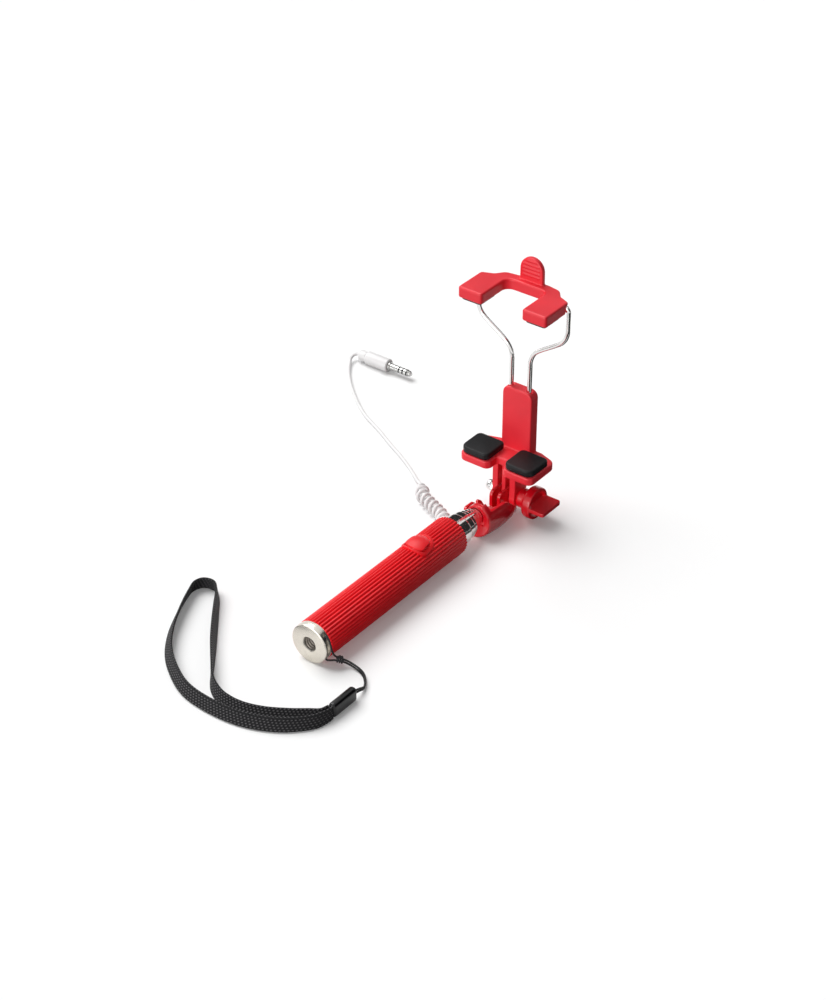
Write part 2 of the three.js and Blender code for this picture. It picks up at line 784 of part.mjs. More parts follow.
function wireFrame() {
  const half = [
    [pivotEnd, pivotZ], [21.2, pivotZ], [wireX - 1.4, pivotZ - 0.15], [wireX - 0.25, pivotZ - 1.3],
    [wireX, pivotZ - 3.2], [wireX, shoulderBottom + 6], [wireX - 0.2, shoulderBottom + 1],
    [wireX - 2.4, shoulderBottom - 3.6], [wireStem + 2.4, stemTop + 3.6], [wireStem + 0.2, stemTop - 1],
    [wireStem, stemTop - 6], [wireStem, wireBottom + 9], [wireStem, wireBottom + 3],
    [wireStem - 0.5, wireBottom + 1], [wireStem - 2.2, wireBottom],
  ];
  const left = half.map(([x, z]) => [-x, wireY, z]).reverse();
  const right = half.map(([x, z]) => [x, wireY, z]);
  return cordAlong([...right, ...left], wireRadius, 84);
}

add("wire_frame", wireFrame(), chrome());

function spring() {
  const foot = new THREE.Vector3(0, wireY, anchorZ + 2);
  const curve = new THREE.LineCurve3(foot, new THREE.Vector3(0, wireY, springHookZ - 1.5));
  return wound(curve, springRadius - springWire, springWire, springTurns);
}

const clampSpring = spring();
console.log("clamp spring, least gap to itself", leastSelfGap(clampSpring.centres, springWire).toFixed(2));
add("clamp_spring", clampSpring.geometry, steel());

add("spring_anchor_pin", new THREE.CylinderGeometry(anchorRadius, anchorRadius, 2 * columnHalf - 0.4, 10)
  .rotateZ(Math.PI / 2).translate(0, wireY, anchorZ), steel());

// Upper jaw: a two-pronged fork with a ridged thumb tab

function jawOutline() {
  const half = [
    [jawSlot, jawFront, 1.2], [jawHalf, jawFront, 1.2], [jawHalf, jawShoulder, 1.6],
    [17.8, jawShoulder + 2.4, 3], [14.6, jawBack - 1, 4], [tabWidth / 2 + 2, jawBack, 2],
  ];
  const left = half.map(([x, y, r]) => [-x, y, r]).reverse();
  return roundedOutline([...half, ...left, [-jawSlot, jawSlotBack, 3.6], [jawSlot, jawSlotBack, 3.6]], 2);
}

function upperPad(offset) {
  const inset = upperPadInset - offset;
  return roundedOutline([
    [jawSlot + inset, jawFront + inset], [jawHalf - inset, jawFront + inset],
    [jawHalf - inset, upperPadBack + offset], [jawSlot + inset, upperPadBack + offset],
  ], 1.4, 3);
}

function upperJaw() {
  const fork = plateXY(jawOutline(), jawZ, jawTop, 0.8);
  const half = tabWidth / 2;
  const tab = plateXZ(roundedOutline([
    [-half, jawZ + 1, 0.8], [half, jawZ + 1, 0.8], [half - 0.4, tabTop, 6], [-half + 0.4, tabTop, 6],
  ], 6, 8), tabBack - tabThickness, tabBack, 0.5);
  const ridges = Array.from({ length: tabRidges }, (_, i) => {
    const z = jawTop + 2.6 + i * tabRidgePitch;
    const rise = Math.max(0, z + 0.7 - (tabTop - half));
    const reach = Math.min(half - 1.8, Math.sqrt(half * half - rise * rise) - 1);
    return box(-reach, reach, tabBack - tabThickness - 0.35, tabBack - tabThickness + 0.5, z, z + 0.7);
  });
  const pin = (x0, x1) => new THREE.CylinderGeometry(wireBore, wireBore, x1 - x0, 12)
    .rotateZ(Math.PI / 2).translate((x0 + x1) / 2, wireY, pivotZ);
  const notch = (x0, x1) => box(x0, x1, wireY - wireBore, jawBack, jawZ - 1, pivotZ + wireBore);
  const notchX = wireX - wireRadius - 2 * gap;
  return cut(
    join(fork, tab, ...ridges),
    notch(notchX, jawHalf + 1),
    notch(-jawHalf - 1, -notchX),
    plateXY(upperPad(gap), jawZ - 1, jawZ + upperPadRecess),
    plateXY(mirroredX(upperPad(gap)), jawZ - 1, jawZ + upperPadRecess),
    pin(pivotEnd - gap, jawHalf + 1),
    pin(-jawHalf - 1, -pivotEnd + gap),
  );
}

add("upper_jaw", upperJaw(), redSatin());

const upperPadTop = jawZ + upperPadRecess - 0.2;
const upperPadBottom = upperPadTop - upperPadHeight;
add("upper_pad_right", plateXY(upperPad(0), upperPadBottom, upperPadTop, 0.3), blackRubber());
add("upper_pad_left", plateXY(mirroredX(upperPad(0)), upperPadBottom, upperPadTop, 0.3), blackRubber());

// Lead: curls from the grip's gland to the ground, then a plain run to a four-pole plug

const coilZ = curlRadius + leadRadius + 0.05;
const coilPath = curveThrough([
  [glandX, glandEnd + 1.7, glandZ], [glandX - 0.2, glandEnd + 5.5, 4.4], [glandX - 1.6, glandEnd + 11, 3.9],
  [-15.9, 116.8, coilZ + 0.05], [-20, 119.4, coilZ], [-25, 121.6, coilZ], [-30.4, 123.8, coilZ],
  [-33.6, 125.2, coilZ], [-36, 127.2, coilZ], [-38.2, 130.4, 3.1], [-41.2, 133.4, 2.3],
]);
const coilTurns = Math.round(coilPath.getLength() / curlPitch);
const coil = wound(coilPath, curlRadius, leadRadius, coilTurns);
const curlGap = leastSelfGap(coil.centres, leadRadius);
console.log("curly lead, turns", coilTurns, "least gap to itself", curlGap.toFixed(2));
add("lead_coil", coil.geometry, whitePlastic(), cords);

const coilEnd = coil.centres[coil.centres.length - 1];
const runStart = coilEnd.clone().addScaledVector(coilPath.getTangentAt(1), gap);
const lie = leadRadius + 0.02;
add("lead_run", cordAlong([
  [runStart.x, runStart.y, runStart.z], [-47.6, 138.2, 1.3], [-51.6, 141.2, 0.95], [-58.2, 145.5, lie],
  [-66.2, 150.1, lie], [-72.2, 153.2, lie], [-80.1, 157.3, lie], [-86.7, 161, lie],
  [-94.3, 164.7, lie], [-102.1, 168.6, lie], [-110.4, 174.1, lie], [-118.8, 180.7, lie],
  [plugStart + 11, plugY - 22.2, lie], [plugStart + 4.2, plugY - 15, lie],
  [plugStart - 0.8, plugY - 8.3, 1.3], [plugStart - 3.1, plugY - 4.2, 2.4],
  [plugStart - 3, plugY - 1.6, 3.1], [plugStart - 1.8, plugY - 0.2, 3.45],
  [plugStart - gap, plugY, plugRadius],
], leadRadius, 76), whitePlastic(), cords);

// Revolved pieces on the plug's line, with profile pairs [radius, distance from the lead's end]
function plugTurned(profile, segments = 20) {
  const points = profile.map(([r, x]) => new THREE.Vector2(r, x));
  const geometry = new THREE.LatheGeometry(points, segments);
  return geometry.rotateZ(-Math.PI / 2).translate(plugStart, plugY, plugRadius);
}

const bodyStart = bootLength + gap;
const bodyEnd = bodyStart + plugLength;
const jackStart = bodyEnd + gap;
add("plug_boot", plugTurned([
  [0, 0], [bootRadius - 0.5, 0], [bootRadius, 0.8], [bootRadius, bootLength], [0, bootLength],
]), whitePlastic(), cords);
add("plug_body", plugTurned([
  [0, bodyStart], [plugRadius - 0.5, bodyStart], [plugRadius, bodyStart + 0.8], [plugRadius, bodyEnd - 0.8],
  [plugRadius - 0.5, bodyEnd], [0, bodyEnd],
]), whitePlastic(), cords);

function jackShaft() {
  const r = jackRadius;
  const groove = r - 0.25;
  const profile = [[0, jackStart], [2.3, jackStart], [2.3, jackStart + 0.8], [r, jackStart + 0.8]];
  for (const at of [6.2, 8.6, 11]) {
    const x = jackStart + at;
    profile.push([r, x], [groove, x + 0.01], [groove, x + 0.79], [r, x + 0.8]);
  }
  const end = jackStart + jackLength;
  profile.push([r, end - 2.6], [r * 0.72, end - 2], [r * 0.86, end - 1.3], [r * 0.4, end], [0, end]);
  return plugTurned(profile, 12);
}

add("jack_shaft", jackShaft(), nickel(), cords);

// Wrist strap: a thin doubled cord through the cap's tunnel, a moulded sleeve and a flat webbing loop

const [sleeveX, sleeveY] = sleeveCentre;
const sleeveTop = sleeveY + sleeveLength / 2;
const sleeveBottom = sleeveY - sleeveLength / 2;
add("strap_cord", cordAlong([
  [sleeveX, sleeveTop + gap, 2.9], [sleeveX, -4.6, 2.2], [30, -1, 0.8], [27.6, 3, 0.5], [23.6, 6.4, 0.5],
  [18.4, 7.7, 0.9], [13.8, 6.6, 2.4], [11, 4.2, 3.6], [9, 2.6, 3.6], [7.8, 2.1, 3.6],
  [lanyardTunnelX, lanyardY, 5.4], [lanyardTunnelX, lanyardY, axisZ], [lanyardTunnelX, lanyardY, 14],
  [7.6, 2.05, 15.9], [9.1, 2.1, 15], [10, 2.2, 12.6], [10.6, 2.6, 9], [11.2, 3.6, 6.4], [12.6, 5.6, 4.6],
  [15.4, 7.4, 3], [19.4, 7.9, 1.9], [24, 6.5, 1.6], [28, 3, 1.6], [30.4, -1, 2], [sleeveX, -4.6, 3.4],
  [sleeveX, sleeveTop + gap, 4.1],
], strapCordRadius, 80, 6), blackWeave(), cords);

add("strap_sleeve", plateXZ(roundedOutline([
  [sleeveX - sleeveWidth / 2, 0], [sleeveX + sleeveWidth / 2, 0],
  [sleeveX + sleeveWidth / 2, sleeveHeight], [sleeveX - sleeveWidth / 2, sleeveHeight],
], 1.3), sleeveBottom, sleeveTop, 0.5), blackPlastic(), cords);

// Points [x, y, lean in degrees] along the webbing's middle line
const webbingPath = [
  [31.5, -23.6, 3], [31, -27.4, 12], [28, -34, 24], [18.6, -42.6, 30], [4.6, -48.6, 32], [-11.4, -50.2, 32],
  [-27.5, -48, 32], [-42.3, -39.9, 30], [-51.3, -32.1, 28], [-58.9, -22, 26], [-65.7, -9.5, 22],
  [-70.6, 1.6, 18], [-72.5, 8.3, 12], [-70.4, 12.6, 8], [-65.4, 13.6, 6], [-60.4, 9.8, 8], [-54, 1.8, 14],
  [-46.8, -7.4, 18], [-39.6, -16.4, 18], [-33, -24.4, 10], [-28, -30.4, 2], [-23.2, -36.2, -8],
  [-17.6, -40.8, -18], [-10, -43.8, -26], [-1, -44, -29], [8.4, -41.2, -28], [17.6, -36, -24],
  [24.8, -30.6, -16], [28.7, -27, -6], [29.6, -23.6, -3],
];

function webbing() {
  const line = curveThrough(webbingPath.map(([x, y, lean]) => [x, y, lean]));
  const count = 84;
  const rings = [];
  for (let i = 0; i <= count; i++) {
    const point = line.getPointAt(i / count);
    const ahead = line.getTangentAt(i / count);
    const lean = THREE.MathUtils.degToRad(point.z);
    const [cos, sin] = [Math.cos(lean), Math.sin(lean)];
    const inward = new THREE.Vector3(ahead.y, -ahead.x, 0).normalize();
    const rise = new THREE.Vector3(0, 0, cos).addScaledVector(inward, sin);
    const face = new THREE.Vector3(0, 0, -sin).addScaledVector(inward, cos);
    const half = strapWidth / 2;
    const lie = half * cos + (strapThickness / 2) * Math.abs(sin) + strapLie;
    const centre = new THREE.Vector3(point.x, point.y, lie);
    rings.push([[-1, -1], [1, -1], [1, 1], [-1, 1]].map(([a, b]) => (
      centre.clone().addScaledVector(rise, a * half).addScaledVector(face, (b * strapThickness) / 2)
    )));
  }
  return skin(rings);
}

add("strap_webbing", webbing(), blackWeave(), cords);

// The whole stands on the ground with its rigid pieces centred over the origin

const bounds = new THREE.Box3().setFromObject(group);
const centre = bounds.getCenter(new THREE.Vector3());
group.add(cords);
group.position.set(-centre.x, -centre.y, -bounds.min.z);
group.updateMatrixWorld(true);

export default group;
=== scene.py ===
# %% [markdown]
# # A wired selfie stick, dressed in Blender
# The solids of the stick come in as a fixed frame. This lesson puts a finer piece over
# each solid that shows and gives every piece a material. Sizes are in millimetres, as on a
# drawing whose y = 0 is the flat face of the end cap.

# %% Load the frame
import math

import bmesh
import bpy
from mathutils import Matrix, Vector


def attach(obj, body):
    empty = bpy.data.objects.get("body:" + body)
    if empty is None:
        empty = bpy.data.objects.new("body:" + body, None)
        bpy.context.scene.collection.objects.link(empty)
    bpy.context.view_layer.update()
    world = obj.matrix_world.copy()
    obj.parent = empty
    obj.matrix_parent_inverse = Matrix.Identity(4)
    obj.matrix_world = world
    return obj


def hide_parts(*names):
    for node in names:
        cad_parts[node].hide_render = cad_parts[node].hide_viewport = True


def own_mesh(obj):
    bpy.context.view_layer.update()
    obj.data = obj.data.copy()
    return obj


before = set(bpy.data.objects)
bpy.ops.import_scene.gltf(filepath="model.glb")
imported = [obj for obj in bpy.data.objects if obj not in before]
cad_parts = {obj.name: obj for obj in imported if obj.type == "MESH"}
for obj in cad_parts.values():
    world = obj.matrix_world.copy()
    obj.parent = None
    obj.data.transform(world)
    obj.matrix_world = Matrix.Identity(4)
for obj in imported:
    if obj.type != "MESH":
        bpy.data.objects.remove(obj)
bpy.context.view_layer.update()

MM = 0.001
HALF_LENGTH = 80.9


def at(x, y, z):
    """A point of the drawing, in millimetres, as a point of the scene, in metres."""
    return Vector((x, y - HALF_LENGTH, z)) * MM


# %% [markdown]
# ## Small helpers
# One function draws arcs. The others wrap steps that every piece needs: selecting it alone,
# turning its faces outward, and giving it a modifier that is applied at once.

# %% Small helpers
def arc(a, b, radius, first, last, steps):
    """Points on a circle about (a, b), from one angle in degrees to another."""
    angles = [math.radians(first + (last - first) * k / steps) for k in range(steps + 1)]
    return [(a + radius * math.cos(t), b + radius * math.sin(t)) for t in angles]


def only(piece):
    """Makes one piece the selected and the active one."""
    bpy.ops.object.select_all(action="DESELECT")
    piece.select_set(True)
    bpy.context.view_layer.objects.active = piece


def close_up():
    """Turns every face outward and ends edit mode."""
    bpy.ops.mesh.select_all(action="SELECT")
    bpy.ops.mesh.normals_make_consistent(inside=False)
    bpy.ops.object.mode_set(mode="OBJECT")


def modify(piece, kind, **settings):
    """Adds one modifier with its settings and applies it."""
    modifier = piece.modifiers.new(kind.lower(), kind)
    for key, value in settings.items():
        setattr(modifier, key, value)
    only(piece)
    bpy.ops.object.modifier_apply(modifier=modifier.name)
    return piece


# %% [markdown]
# ## The camera
# The view is a three-quarter one from the end cap, looking down at the standing clamp. A
# long lens far away keeps upright lines nearly parallel, as in a catalogue picture.

# %% Camera
CAMERA_PLACE = at(498.9, -584.7, 603.6)
CAMERA_TURN = 37.19
CAMERA_DROP = 34.14
LENS = 82.46
SENSOR = 36

bpy.ops.object.select_all(action="DESELECT")
tilt = (math.radians(90 - CAMERA_DROP), 0, math.radians(CAMERA_TURN))
bpy.ops.object.camera_add(location=CAMERA_PLACE, rotation=tilt)
camera = bpy.context.object
camera.data.lens = LENS
camera.data.sensor_width = SENSOR
camera.data.clip_start = 0.05
camera.data.clip_end = 20
bpy.context.scene.camera = camera
bpy.context.scene.view_settings.view_transform = "Standard"

# %% [markdown]
# ## Materials as sums
# A material here is a short sum of patterns: grain, streaks, rings or weave. To keep the
# sums readable, one small class stands for a socket and adds a Math node for each sign.

# %% Sockets that add up
class Value:
    """A node's output that adds a Math node for each sign it meets."""

    def __init__(self, finish, socket):
        self.finish = finish
        self.socket = socket

    def math(self, operation, *others):
        values = dict(enumerate((self, *others)))
        return self.finish.node("ShaderNodeMath", {"operation": operation}, values)

    def __add__(self, other):
        return self.math("ADD", other)

    def __rsub__(self, other):
        return self.finish.node("ShaderNodeMath", {"operation": "SUBTRACT"}, {0: other, 1: self})

    def __mul__(self, other):
        return self.math("MULTIPLY", other)

    def __gt__(self, other):
        return self.math("GREATER_THAN", other)


class Finish:
    """The nodes of a material, or of the sky, under construction."""

    def __init__(self, name, kind=bpy.data.materials):
        self.block = kind.new(name)
        self.block.use_nodes = True
        self.tree = self.block.node_tree
        self.tree.nodes.clear()
        place = self.tree.nodes.new("ShaderNodeTexCoord")
        self.place = Value(self, place.outputs["Object"])
        self.cloth = Value(self, place.outputs["UV"])

    def node(self, kind, settings, values, output=0):
        node = self.tree.nodes.new(kind)
        for key, setting in settings.items():
            setattr(node, key, setting)
        for key, value in values.items():
            self.put(node.inputs[key], value)
        return Value(self, node.outputs[output]) if node.outputs else None

    def put(self, socket, value):
        """Links a Value to a socket, or sets a number, a colour or a vector on it."""
        if isinstance(value, Value):
            self.tree.links.new(value.socket, socket)
        elif hasattr(socket.default_value, "__len__"):
            value = value if hasattr(value, "__len__") else [value] * 3
            short = len(value) < len(socket.default_value)
            socket.default_value = (*value, 1) if short else value
        else:
            socket.default_value = value

    def moved(self, scale, centre=(0, 0, 0)):
        place = [-c * s for c, s in zip(centre, scale)]
        values = {"Vector": self.place, "Scale": scale, "Location": place}
        return self.node("ShaderNodeMapping", {}, values)

    def noise(self, size, detail=2, stretch=(1, 1, 1), rough=0.5):
        """Clouds whose blots are about size millimetres wide."""
        scale = [s / (size * MM) for s in stretch]
        values = {"Vector": self.moved(scale), "Scale": 1, "Detail": detail, "Roughness": rough}
        return self.node("ShaderNodeTexNoise", {}, values)

    def ramp(self, value, low, high):
        """0 below low, 1 above high, smooth between."""
        values = {"Value": value, "From Min": low, "From Max": high}
        return self.node("ShaderNodeMapRange", {"interpolation_type": "SMOOTHSTEP"}, values)

    def mix(self, share, first, second):
        values = {0: share, 6: first, 7: second}
        return self.node("ShaderNodeMix", {"data_type": "RGBA"}, values, output=2)

    def length(self, vector):
        return self.node("ShaderNodeVectorMath", {"operation": "LENGTH"}, {0: vector}, output=1)

    def seen(self):
        """1 for the camera, in mirrors and through glass, and 0 for light that bounces."""
        rays = self.tree.nodes.new("ShaderNodeLightPath")
        camera, glossy, through = (Value(self, rays.outputs[f"Is {kind} Ray"])
                                   for kind in ("Camera", "Glossy", "Transmission"))
        return camera.math("MAXIMUM", glossy).math("MAXIMUM", through)

    def split(self, vector):
        node = self.tree.nodes.new("ShaderNodeSeparateXYZ")
        self.put(node.inputs[0], vector)
        return [Value(self, output) for output in node.outputs]

    def shade(self, color, rough, bump=None, depth=0.0, metal=0.0, **steady):
        """The surface itself: steady sockets get one number all over."""
        shader = self.tree.nodes.new("ShaderNodeBsdfPrincipled")
        self.put(shader.inputs["Base Color"], color)
        self.put(shader.inputs["Roughness"], rough)
        self.put(shader.inputs["Metallic"], metal)
        for key, value in steady.items():
            shader.inputs[key.replace("_", " ")].default_value = value
        if bump is not None:
            values = {"Height": bump, "Distance": depth * MM, "Strength": 1.0}
            self.put(shader.inputs["Normal"], self.node("ShaderNodeBump", {}, values))
        self.node("ShaderNodeOutputMaterial", {}, {"Surface": Value(self, shader.outputs[0])})
        return self.block


# %% [markdown]
# ## Red rubber and red plastic
# The grip is matt rubber with a very fine grain and a little dust on it. The neck and the
# knob are glossy plastic, and the clamp's plastic lies between the two. One function makes
# all three from the same few sums.

# %% Reds
def red_finish(name, color, rough, grain, depth, dust=0.0, **steady):
    finish = Finish(name)
    cloud = finish.noise(14, 3)
    fine = finish.noise(grain, 3, rough=0.65)
    shade = [c * 0.92 for c in color]
    base = finish.mix(finish.ramp(cloud, 0.3, 0.7), shade, color)
    specks = finish.ramp(finish.noise(0.5, 1), 0.74, 0.8) * dust
    base = finish.mix(specks, base, (0.9, 0.55, 0.5))
    roughness = finish.ramp(cloud, 0.2, 0.8) * 0.08 + rough + specks * 0.2
    return finish.shade(base, roughness, fine, depth, **steady)


RED_RUBBER = red_finish("grip_rubber", (0.82, 0.001, 0.008), 0.42, 0.22, 0.006, dust=0.03,
                        Specular_IOR_Level=0.35)
RED_GLOSS = red_finish("gloss_red", (0.64, 0.003, 0.012), 0.2, 1.6, 0.02, Coat_Weight=0.2)
RED_SATIN = red_finish("satin_red", (0.78, 0.012, 0.027), 0.38, 0.5, 0.02, dust=0.05)

# %% [markdown]
# ## Black rubber and black plastic
# The pads are soft black rubber with a powdery skin, and the strap's sleeve is harder and
# shines.

# %% Blacks
def black_finish(name, color, rough, grain, depth, dust, **steady):
    finish = Finish(name)
    cloud = finish.noise(9, 3)
    fine = finish.noise(grain, 3, rough=0.7)
    specks = finish.ramp(finish.noise(0.45, 1), 0.72, 0.8) * dust
    base = finish.mix(finish.ramp(cloud, 0.3, 0.7), [c * 0.7 for c in color], color)
    base = finish.mix(specks, base, (0.2, 0.2, 0.21))
    return finish.shade(base, cloud * 0.14 + rough, fine, depth, **steady)


BLACK_RUBBER = black_finish("pad_rubber", (0.005, 0.005, 0.006), 0.42, 0.2, 0.03, 0.08,
                            Specular_IOR_Level=0.22)
BLACK_PLASTIC = black_finish("sleeve_plastic", (0.004, 0.004, 0.005), 0.16, 0.6, 0.006, 0.03,
                             Specular_IOR_Level=0.35)

# %% [markdown]
# ## Bright metals
# The tubes are plated and polished, with hair-thin rubs along their length from sliding.
# The end cap is satin nickel from a lathe, so its face has fine rings round the axis.
# Shade is painted inside the cap's socket, and on the thread in it.

# %% Metals
AXIS_Z = 9.5


def streaked_metal(name, color, rough, stretch, depth):
    finish = Finish(name)
    rubs = finish.noise(0.25, 2, stretch)
    smudge = finish.noise(7, 2)
    base = finish.mix(finish.ramp(smudge, 0.3, 0.8), color, [c * 0.93 for c in color])
    roughness = finish.ramp(rubs, 0.45, 0.8) * 0.08 + smudge * 0.05 + rough
    return finish.shade(base, roughness, rubs, depth, metal=1.0)


FINE_RINGS = 26
SOCKET = 3


def turned_metal(name, color, rough, centre):
    """Metal with fine rings round the stick's axis, with painted shade inside the socket."""
    finish = Finish(name)
    flat = finish.moved((1, 0, 1), (centre[0], 0, centre[2]))
    radius = finish.length(flat) * (1 / MM)
    rings = (radius * FINE_RINGS).math("SINE")
    uneven = finish.noise(3, 1)
    base = finish.mix(finish.ramp(uneven, 0.3, 0.75), color, [c * 0.93 for c in color])
    # Painted shade: the nickel inside the socket is painted much darker.
    inside = 1 - finish.ramp(radius, SOCKET + 0.15, SOCKET + 0.6)
    base = finish.mix(inside, base, [c * 0.3 for c in color])
    roughness = rings * 0.03 + uneven * 0.08 + rough
    return finish.shade(base, roughness, rings, 0.0025, metal=1.0)


CHROME_TUBE = streaked_metal("tube_chrome", (0.78, 0.77, 0.75), 0.05, (1, 0.03, 1), 0.004)
CHROME = streaked_metal("bright_chrome", (0.80, 0.79, 0.78), 0.06, (1, 1, 1), 0.003)
STEEL = streaked_metal("bright_steel", (0.55, 0.55, 0.54), 0.2, (1, 1, 1), 0.005)
NICKEL = turned_metal("turned_nickel", (0.68, 0.64, 0.57), 0.24, at(0, 0, AXIS_Z))
# The thread's steel is painted dark, as shade inside the socket.
SOCKET_SHADE_STEEL = streaked_metal("socket_shade_steel", (0.26, 0.23, 0.20), 0.3, (1, 1, 1), 0.003)

# %% [markdown]
# ## White vinyl, nylon and the switch board
# The lead and its plug share one soft white vinyl. Hidden inside are the plain nylon of
# the bushes and the switch board, green with a few copper tracks.

# %% Small finishes
def vinyl():
    finish = Finish("white_vinyl")
    cloud = finish.noise(4, 2)
    fine = finish.noise(0.3, 2)
    base = finish.mix(cloud, (0.80, 0.79, 0.79), (0.72, 0.71, 0.71))
    return finish.shade(base, cloud * 0.1 + 0.34, fine, 0.01)


def nylon():
    finish = Finish("bush_nylon")
    cloud = finish.noise(1.5, 3)
    base = finish.mix(cloud, (0.68, 0.62, 0.50), (0.60, 0.55, 0.44))
    return finish.shade(base, cloud * 0.1 + 0.4, cloud, 0.02)


def board():
    finish = Finish("switch_board")
    x, y, z = finish.split(finish.moved([1 / MM] * 3))
    tracks = (x * 5).math("SINE") > 0.82
    base = finish.mix(tracks, (0.012, 0.09, 0.03), (0.45, 0.2, 0.06))
    return finish.shade(base, 0.4 - tracks * 0.1, tracks, 0.03)


VINYL = vinyl()
NYLON = nylon()
BOARD = board()

# %% [markdown]
# ## Braid and webbing
# The wrist strap is knitted in long narrow rows of slanted stitches. The pattern follows
# the strap round its bends by its UV map, in millimetres: across the strap, then along it.
# One sine gives the rows and another the stitches in a row. Each row is moved by half a
# stitch, and adding a little of the first number to the second gives the slant.
# The crests of the stitches are painted lighter, as a painted highlight.

# %% Weave
def weave(name, row, stitch, depth, color, painted_glint, **steady):
    finish = Finish(name)
    across, along, _ = finish.split(finish.cloth)
    rows = (across * (math.pi / row)).math("SINE").math("ABSOLUTE")
    shift = (across * (1 / row)).math("FLOOR") * (stitch / 2)
    slanted = along + across * 0.35 + shift
    stitches = (slanted * (math.pi / stitch)).math("SINE").math("ABSOLUTE")
    height = rows * stitches
    fibre = finish.noise(0.12, 2)
    # Painted highlight: the stitch crests get a lighter colour.
    base = finish.mix(finish.ramp(height, 0.5, 1), color, painted_glint)
    return finish.shade(base, fibre * 0.2 + 0.55, height + fibre * 0.15, depth, **steady)


WEBBING = weave("strap_weave", 1.05, 1.7, 0.4, (0.004, 0.004, 0.005), (0.12, 0.115, 0.12),
                Specular_IOR_Level=0.2)
CORD = weave("cord_braid", 0.4, 0.9, 0.05, (0.005, 0.005, 0.006), (0.02, 0.02, 0.022),
             Specular_IOR_Level=0.4)

# %% [markdown]
# ## Finishing a piece
# Every piece ends the same way: smooth shading that breaks at sharp edges, one material,
# the body that it rides on and the solids that it stands for.

# %% Finish a piece
def complete(piece, body, slot, material, *solids, smooth=35):
    only(piece)
    bpy.ops.object.shade_smooth_by_angle(angle=math.radians(smooth))
    piece.data.materials.clear()
    piece.data.materials.append(material)
    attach(piece, body)
    if solids:
        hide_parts(*solids)
    print(piece.name, "faces", len(piece.data.polygons))
    return piece


# %% [markdown]
# ## Smooth routes for cords and wires
# A cord follows a smooth curve through a few points, without loops or overshoot. It is
# stepped in equal lengths, so that a coil or a weave on it has an even pitch.

# %% A curve through points
def spline_point(points, t):
    last = len(points) - 1
    i = min(int(t * last), last - 1)
    w = t * last - i
    p1, p2 = points[i], points[i + 1]
    p0 = points[i - 1] if i > 0 else p1 * 2 - p2
    p3 = points[i + 2] if i + 2 <= last else p2 * 2 - p1
    d0, d1, d2 = (max((a - b).length, 1e-9) ** 0.5 for a, b in ((p1, p0), (p2, p1), (p3, p2)))
    m1 = ((p1 - p0) / d0 - (p2 - p0) / (d0 + d1) + (p2 - p1) / d1) * d1
    m2 = ((p2 - p1) / d1 - (p3 - p1) / (d1 + d2) + (p3 - p2) / d2) * d1
    return (p1 * (2 * w**3 - 3 * w**2 + 1) + m1 * (w**3 - 2 * w**2 + w)
            + p2 * (3 * w**2 - 2 * w**3) + m2 * (w**3 - w**2))


def even_route(points, count):
    """count + 1 points at equal distances along the curve through the given ones."""
    points = [Vector(p) for p in points]
    dense = [spline_point(points, k / 3000) for k in range(3001)]
    run = [0.0]
    for a, b in zip(dense, dense[1:]):
        run.append(run[-1] + (b - a).length)
    route, k = [], 0
    for i in range(count + 1):
        goal = run[-1] * i / count
        while k < len(run) - 2 and run[k + 1] < goal:
            k += 1
        share = (goal - run[k]) / (run[k + 1] - run[k])
        route.append(dense[k].lerp(dense[k + 1], share))
    return route


def route_length(route):
    return sum((b - a).length for a, b in zip(route, route[1:]))


def directions(route):
    ends = [(route[max(i - 1, 0)], route[min(i + 1, len(route) - 1)]) for i in range(len(route))]
    return [(b - a).normalized() for a, b in ends]


# %% [markdown]
# ## A skin over rings
# A round wire and a flat strap are both rings of points, joined by faces and closed at both
# ends. The rings carry the UV map in millimetres: round or across first, along second.

# %% Skin
def skin(name, rings, lengths, around):
    size = len(rings[0])
    mesh = bpy.data.meshes.new(name)
    faces = [[i * size + j, i * size + (j + 1) % size, (i + 1) * size + (j + 1) % size,
              (i + 1) * size + j] for i in range(len(rings) - 1) for j in range(size)]
    last = (len(rings) - 1) * size
    faces += [list(range(size))[::-1], list(range(last, last + size))]
    mesh.from_pydata([p for ring in rings for p in ring], [], faces)
    layer = mesh.uv_layers.new(name="cloth")
    for face in mesh.polygons:
        seam = len(face.vertices) == 4 and 0 in [v % size for v in face.vertices]
        for loop in face.loop_indices:
            ring, spot = divmod(mesh.loops[loop].vertex_index, size)
            closing = seam and spot == 0 and any(v % size == size - 1 for v in face.vertices)
            layer.data[loop].uv = (around[size if closing else spot], lengths[ring])
    piece = bpy.data.objects.new(name, mesh)
    bpy.context.scene.collection.objects.link(piece)
    only(piece)
    bpy.ops.object.mode_set(mode="EDIT")
    close_up()
    return piece


def tube(name, route, radius, sides=12, start=(0, 0, 1)):
    """A round wire along a route in metres, with a radius in metres."""
    side = Vector(start)
    rings, lengths, run = [], [], 0.0
    for i, (centre, along) in enumerate(zip(route, directions(route))):
        side = (side - along * side.dot(along)).normalized()
        other = along.cross(side)
        turns = [2 * math.pi * j / sides for j in range(sides)]
        rings.append([centre + (side * math.cos(a) + other * math.sin(a)) * radius for a in turns])
        run += (centre - route[i - 1]).length / MM if i else 0
        lengths.append(run)
    around = [2 * math.pi * radius / MM * j / sides for j in range(sides + 1)]
    return skin(name, rings, lengths, around)


# %% [markdown]
# ## The lead
# The lead leaves the grip's gland, runs in thirteen curls along the ground, and goes on as
# a plain cable to its plug, all in one tube. Curls are a helix about a curved line, and
# their radius swells from nothing at each end, so that the cable enters and leaves straight.

# %% Lead
LEAD = 0.85
CURL = 2.6
CURL_PITCH = 3.7
GLAND = (-10.8, 101, 4.6)
COIL_Z = CURL + LEAD + 0.05
STEPS_PER_CURL = 24

